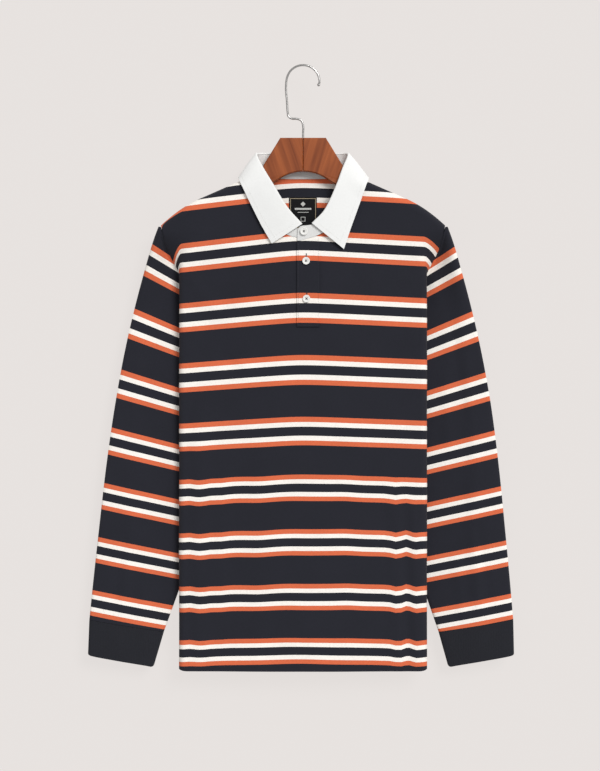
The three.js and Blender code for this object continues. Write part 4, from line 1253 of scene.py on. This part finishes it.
# %% Buttonholes
def buttonhole(name, x, z, half_high):
    turns = np.linspace(0, 2 * math.pi, 61)
    p = x + 0.75 * np.cos(turns)
    high = z + half_high * np.sin(turns)
    line = body_point(p, high, half_gap(p, high) + body_lift(p, high, FRONT_CREASES) + over_face)
    stitch_row(name, line, np.tile([0, -1.0, 0], (len(line), 1)), NAVY_THREAD, "jersey",
               pitch=0.55, long=0.52, thick=0.85)


for number, (x, z, _) in enumerate(BUTTONS[1:], 2):
    buttonhole("buttonhole_%d" % number, x + 0.3, z + 2.2, 8.6)

# %% [markdown]
# ## Hanger
#
# The arms are two glued halves of stained wood. Their shape comes from the model, so they
# only get a better finish: long grain, fine pores as a bump and a thin coat of varnish. The hook
# is one bent wire, drawn as a curve and given its round section, with a small ball on its tip.

# %% Wood and wire
def make_wood(name, lean):
    material, shader = new_finish(name, 0.5, Coat_Weight=0.08, Coat_Roughness=0.3,
                                  Specular_IOR_Level=0.25)
    place = add_node(material, "ShaderNodeTexCoord").outputs["Object"]

    def mapped(vector, **values):
        inputs = {"Vector": vector, **values}
        return add_node(material, "ShaderNodeMapping", inputs).outputs[0]

    turned_place = mapped(place, Rotation=(0, lean, 0))
    long_grain = mapped(turned_place, Scale=(130, 60, 9))
    streaks = add_node(material, "ShaderNodeTexNoise",
                       {"Vector": long_grain, "Scale": 1.0, "Detail": 6.0, "Distortion": 0.5})
    stain = add_node(material, "ShaderNodeValToRGB", {0: streaks.outputs[0]})
    stain.color_ramp.elements[0].position = 0.25
    stain.color_ramp.elements[0].color = (0.165, 0.034, 0.008, 1)
    stain.color_ramp.elements[1].position = 0.75
    stain.color_ramp.elements[1].color = (0.400, 0.105, 0.028, 1)
    link(material, stain.outputs[0], shader.inputs["Base Color"])
    pores = mapped(turned_place, Scale=(1500, 500, 60))
    fine = add_node(material, "ShaderNodeTexNoise", {"Vector": pores, "Scale": 1.0, "Detail": 2.0})
    bump = add_node(material, "ShaderNodeBump",
                    {"Strength": 0.25, "Distance": 0.0002, "Height": fine.outputs[0]})
    link(material, bump.outputs[0], shader.inputs["Normal"])
    return material


for name, lean in (("hanger_arm_left", 0.30), ("hanger_arm_right", -0.30)):
    arm_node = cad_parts[name]
    arm_node.data.materials.clear()
    arm_node.data.materials.append(make_wood(name + "_stain", lean))

steel, steel_shader = new_finish("drawn_steel", 0.27, Metallic=1.0)
draw_lines = add_node(steel, "ShaderNodeTexNoise", {"Scale": 900.0,
                      "Vector": add_node(steel, "ShaderNodeTexCoord").outputs["Object"]})
steel_tone = add_node(steel, "ShaderNodeValToRGB", {0: draw_lines.outputs[0]})
steel_tone.color_ramp.elements[0].color = (0.36, 0.35, 0.34, 1)
steel_tone.color_ramp.elements[1].color = (0.58, 0.57, 0.56, 1)
link(steel, steel_tone.outputs[0], steel_shader.inputs["Base Color"])

WIRE_R = 1.6
HOOK_INNER_R = 22.3
HOOK_NECK = [(0, -127.8), (0, -100), (0, -86), (-2.5, -79), (-9, -76.4), (-16, -76), (-21, -73),
             (-22.4, -66), (-23.4, -50), (-24.8, -33)]
HOOK_TIP = (22.6, -27)


def hook_route():
    bend = []
    for degrees in np.arange(165, -1, -27.5):
        angle = math.radians(degrees)
        radius = HOOK_INNER_R + WIRE_R
        bend.append((radius * math.cos(angle), radius * math.sin(angle) - HOOK_INNER_R))
    return [(x, 0.0, z) for x, z in HOOK_NECK + bend + [HOOK_TIP]]


def make_hook():
    line = space_curve(hook_route(), np.linspace(0, 1, 260)) * MM
    curve = bpy.data.curves.new("hook_wire", "CURVE")
    curve.dimensions = "3D"
    curve.bevel_depth = WIRE_R * MM
    curve.bevel_resolution = 5
    curve.use_fill_caps = True
    spline = curve.splines.new("POLY")
    spline.points.add(len(line) - 1)
    for point, place in zip(spline.points, line):
        point.co = (*place, 1)
    wire = bpy.data.objects.new("hook_wire", curve)
    bpy.context.scene.collection.objects.link(wire)
    bpy.ops.object.select_all(action="DESELECT")
    wire.select_set(True)
    bpy.context.view_layer.objects.active = wire
    bpy.ops.object.convert(target="MESH")
    bpy.ops.mesh.primitive_uv_sphere_add(segments=24, ring_count=14, radius=2.3 * MM,
                                         location=(HOOK_TIP[0] * MM, 0, HOOK_TIP[1] * MM))
    wire.select_set(True)
    bpy.context.view_layer.objects.active = wire
    bpy.ops.object.join()
    wire.data.materials.clear()
    wire.data.materials.append(steel)
    wire.data.shade_smooth()
    finish_piece(wire, "steel", "hanger_hook")
    return wire


hook = make_hook()
print("hook", len(hook.data.polygons), "faces")
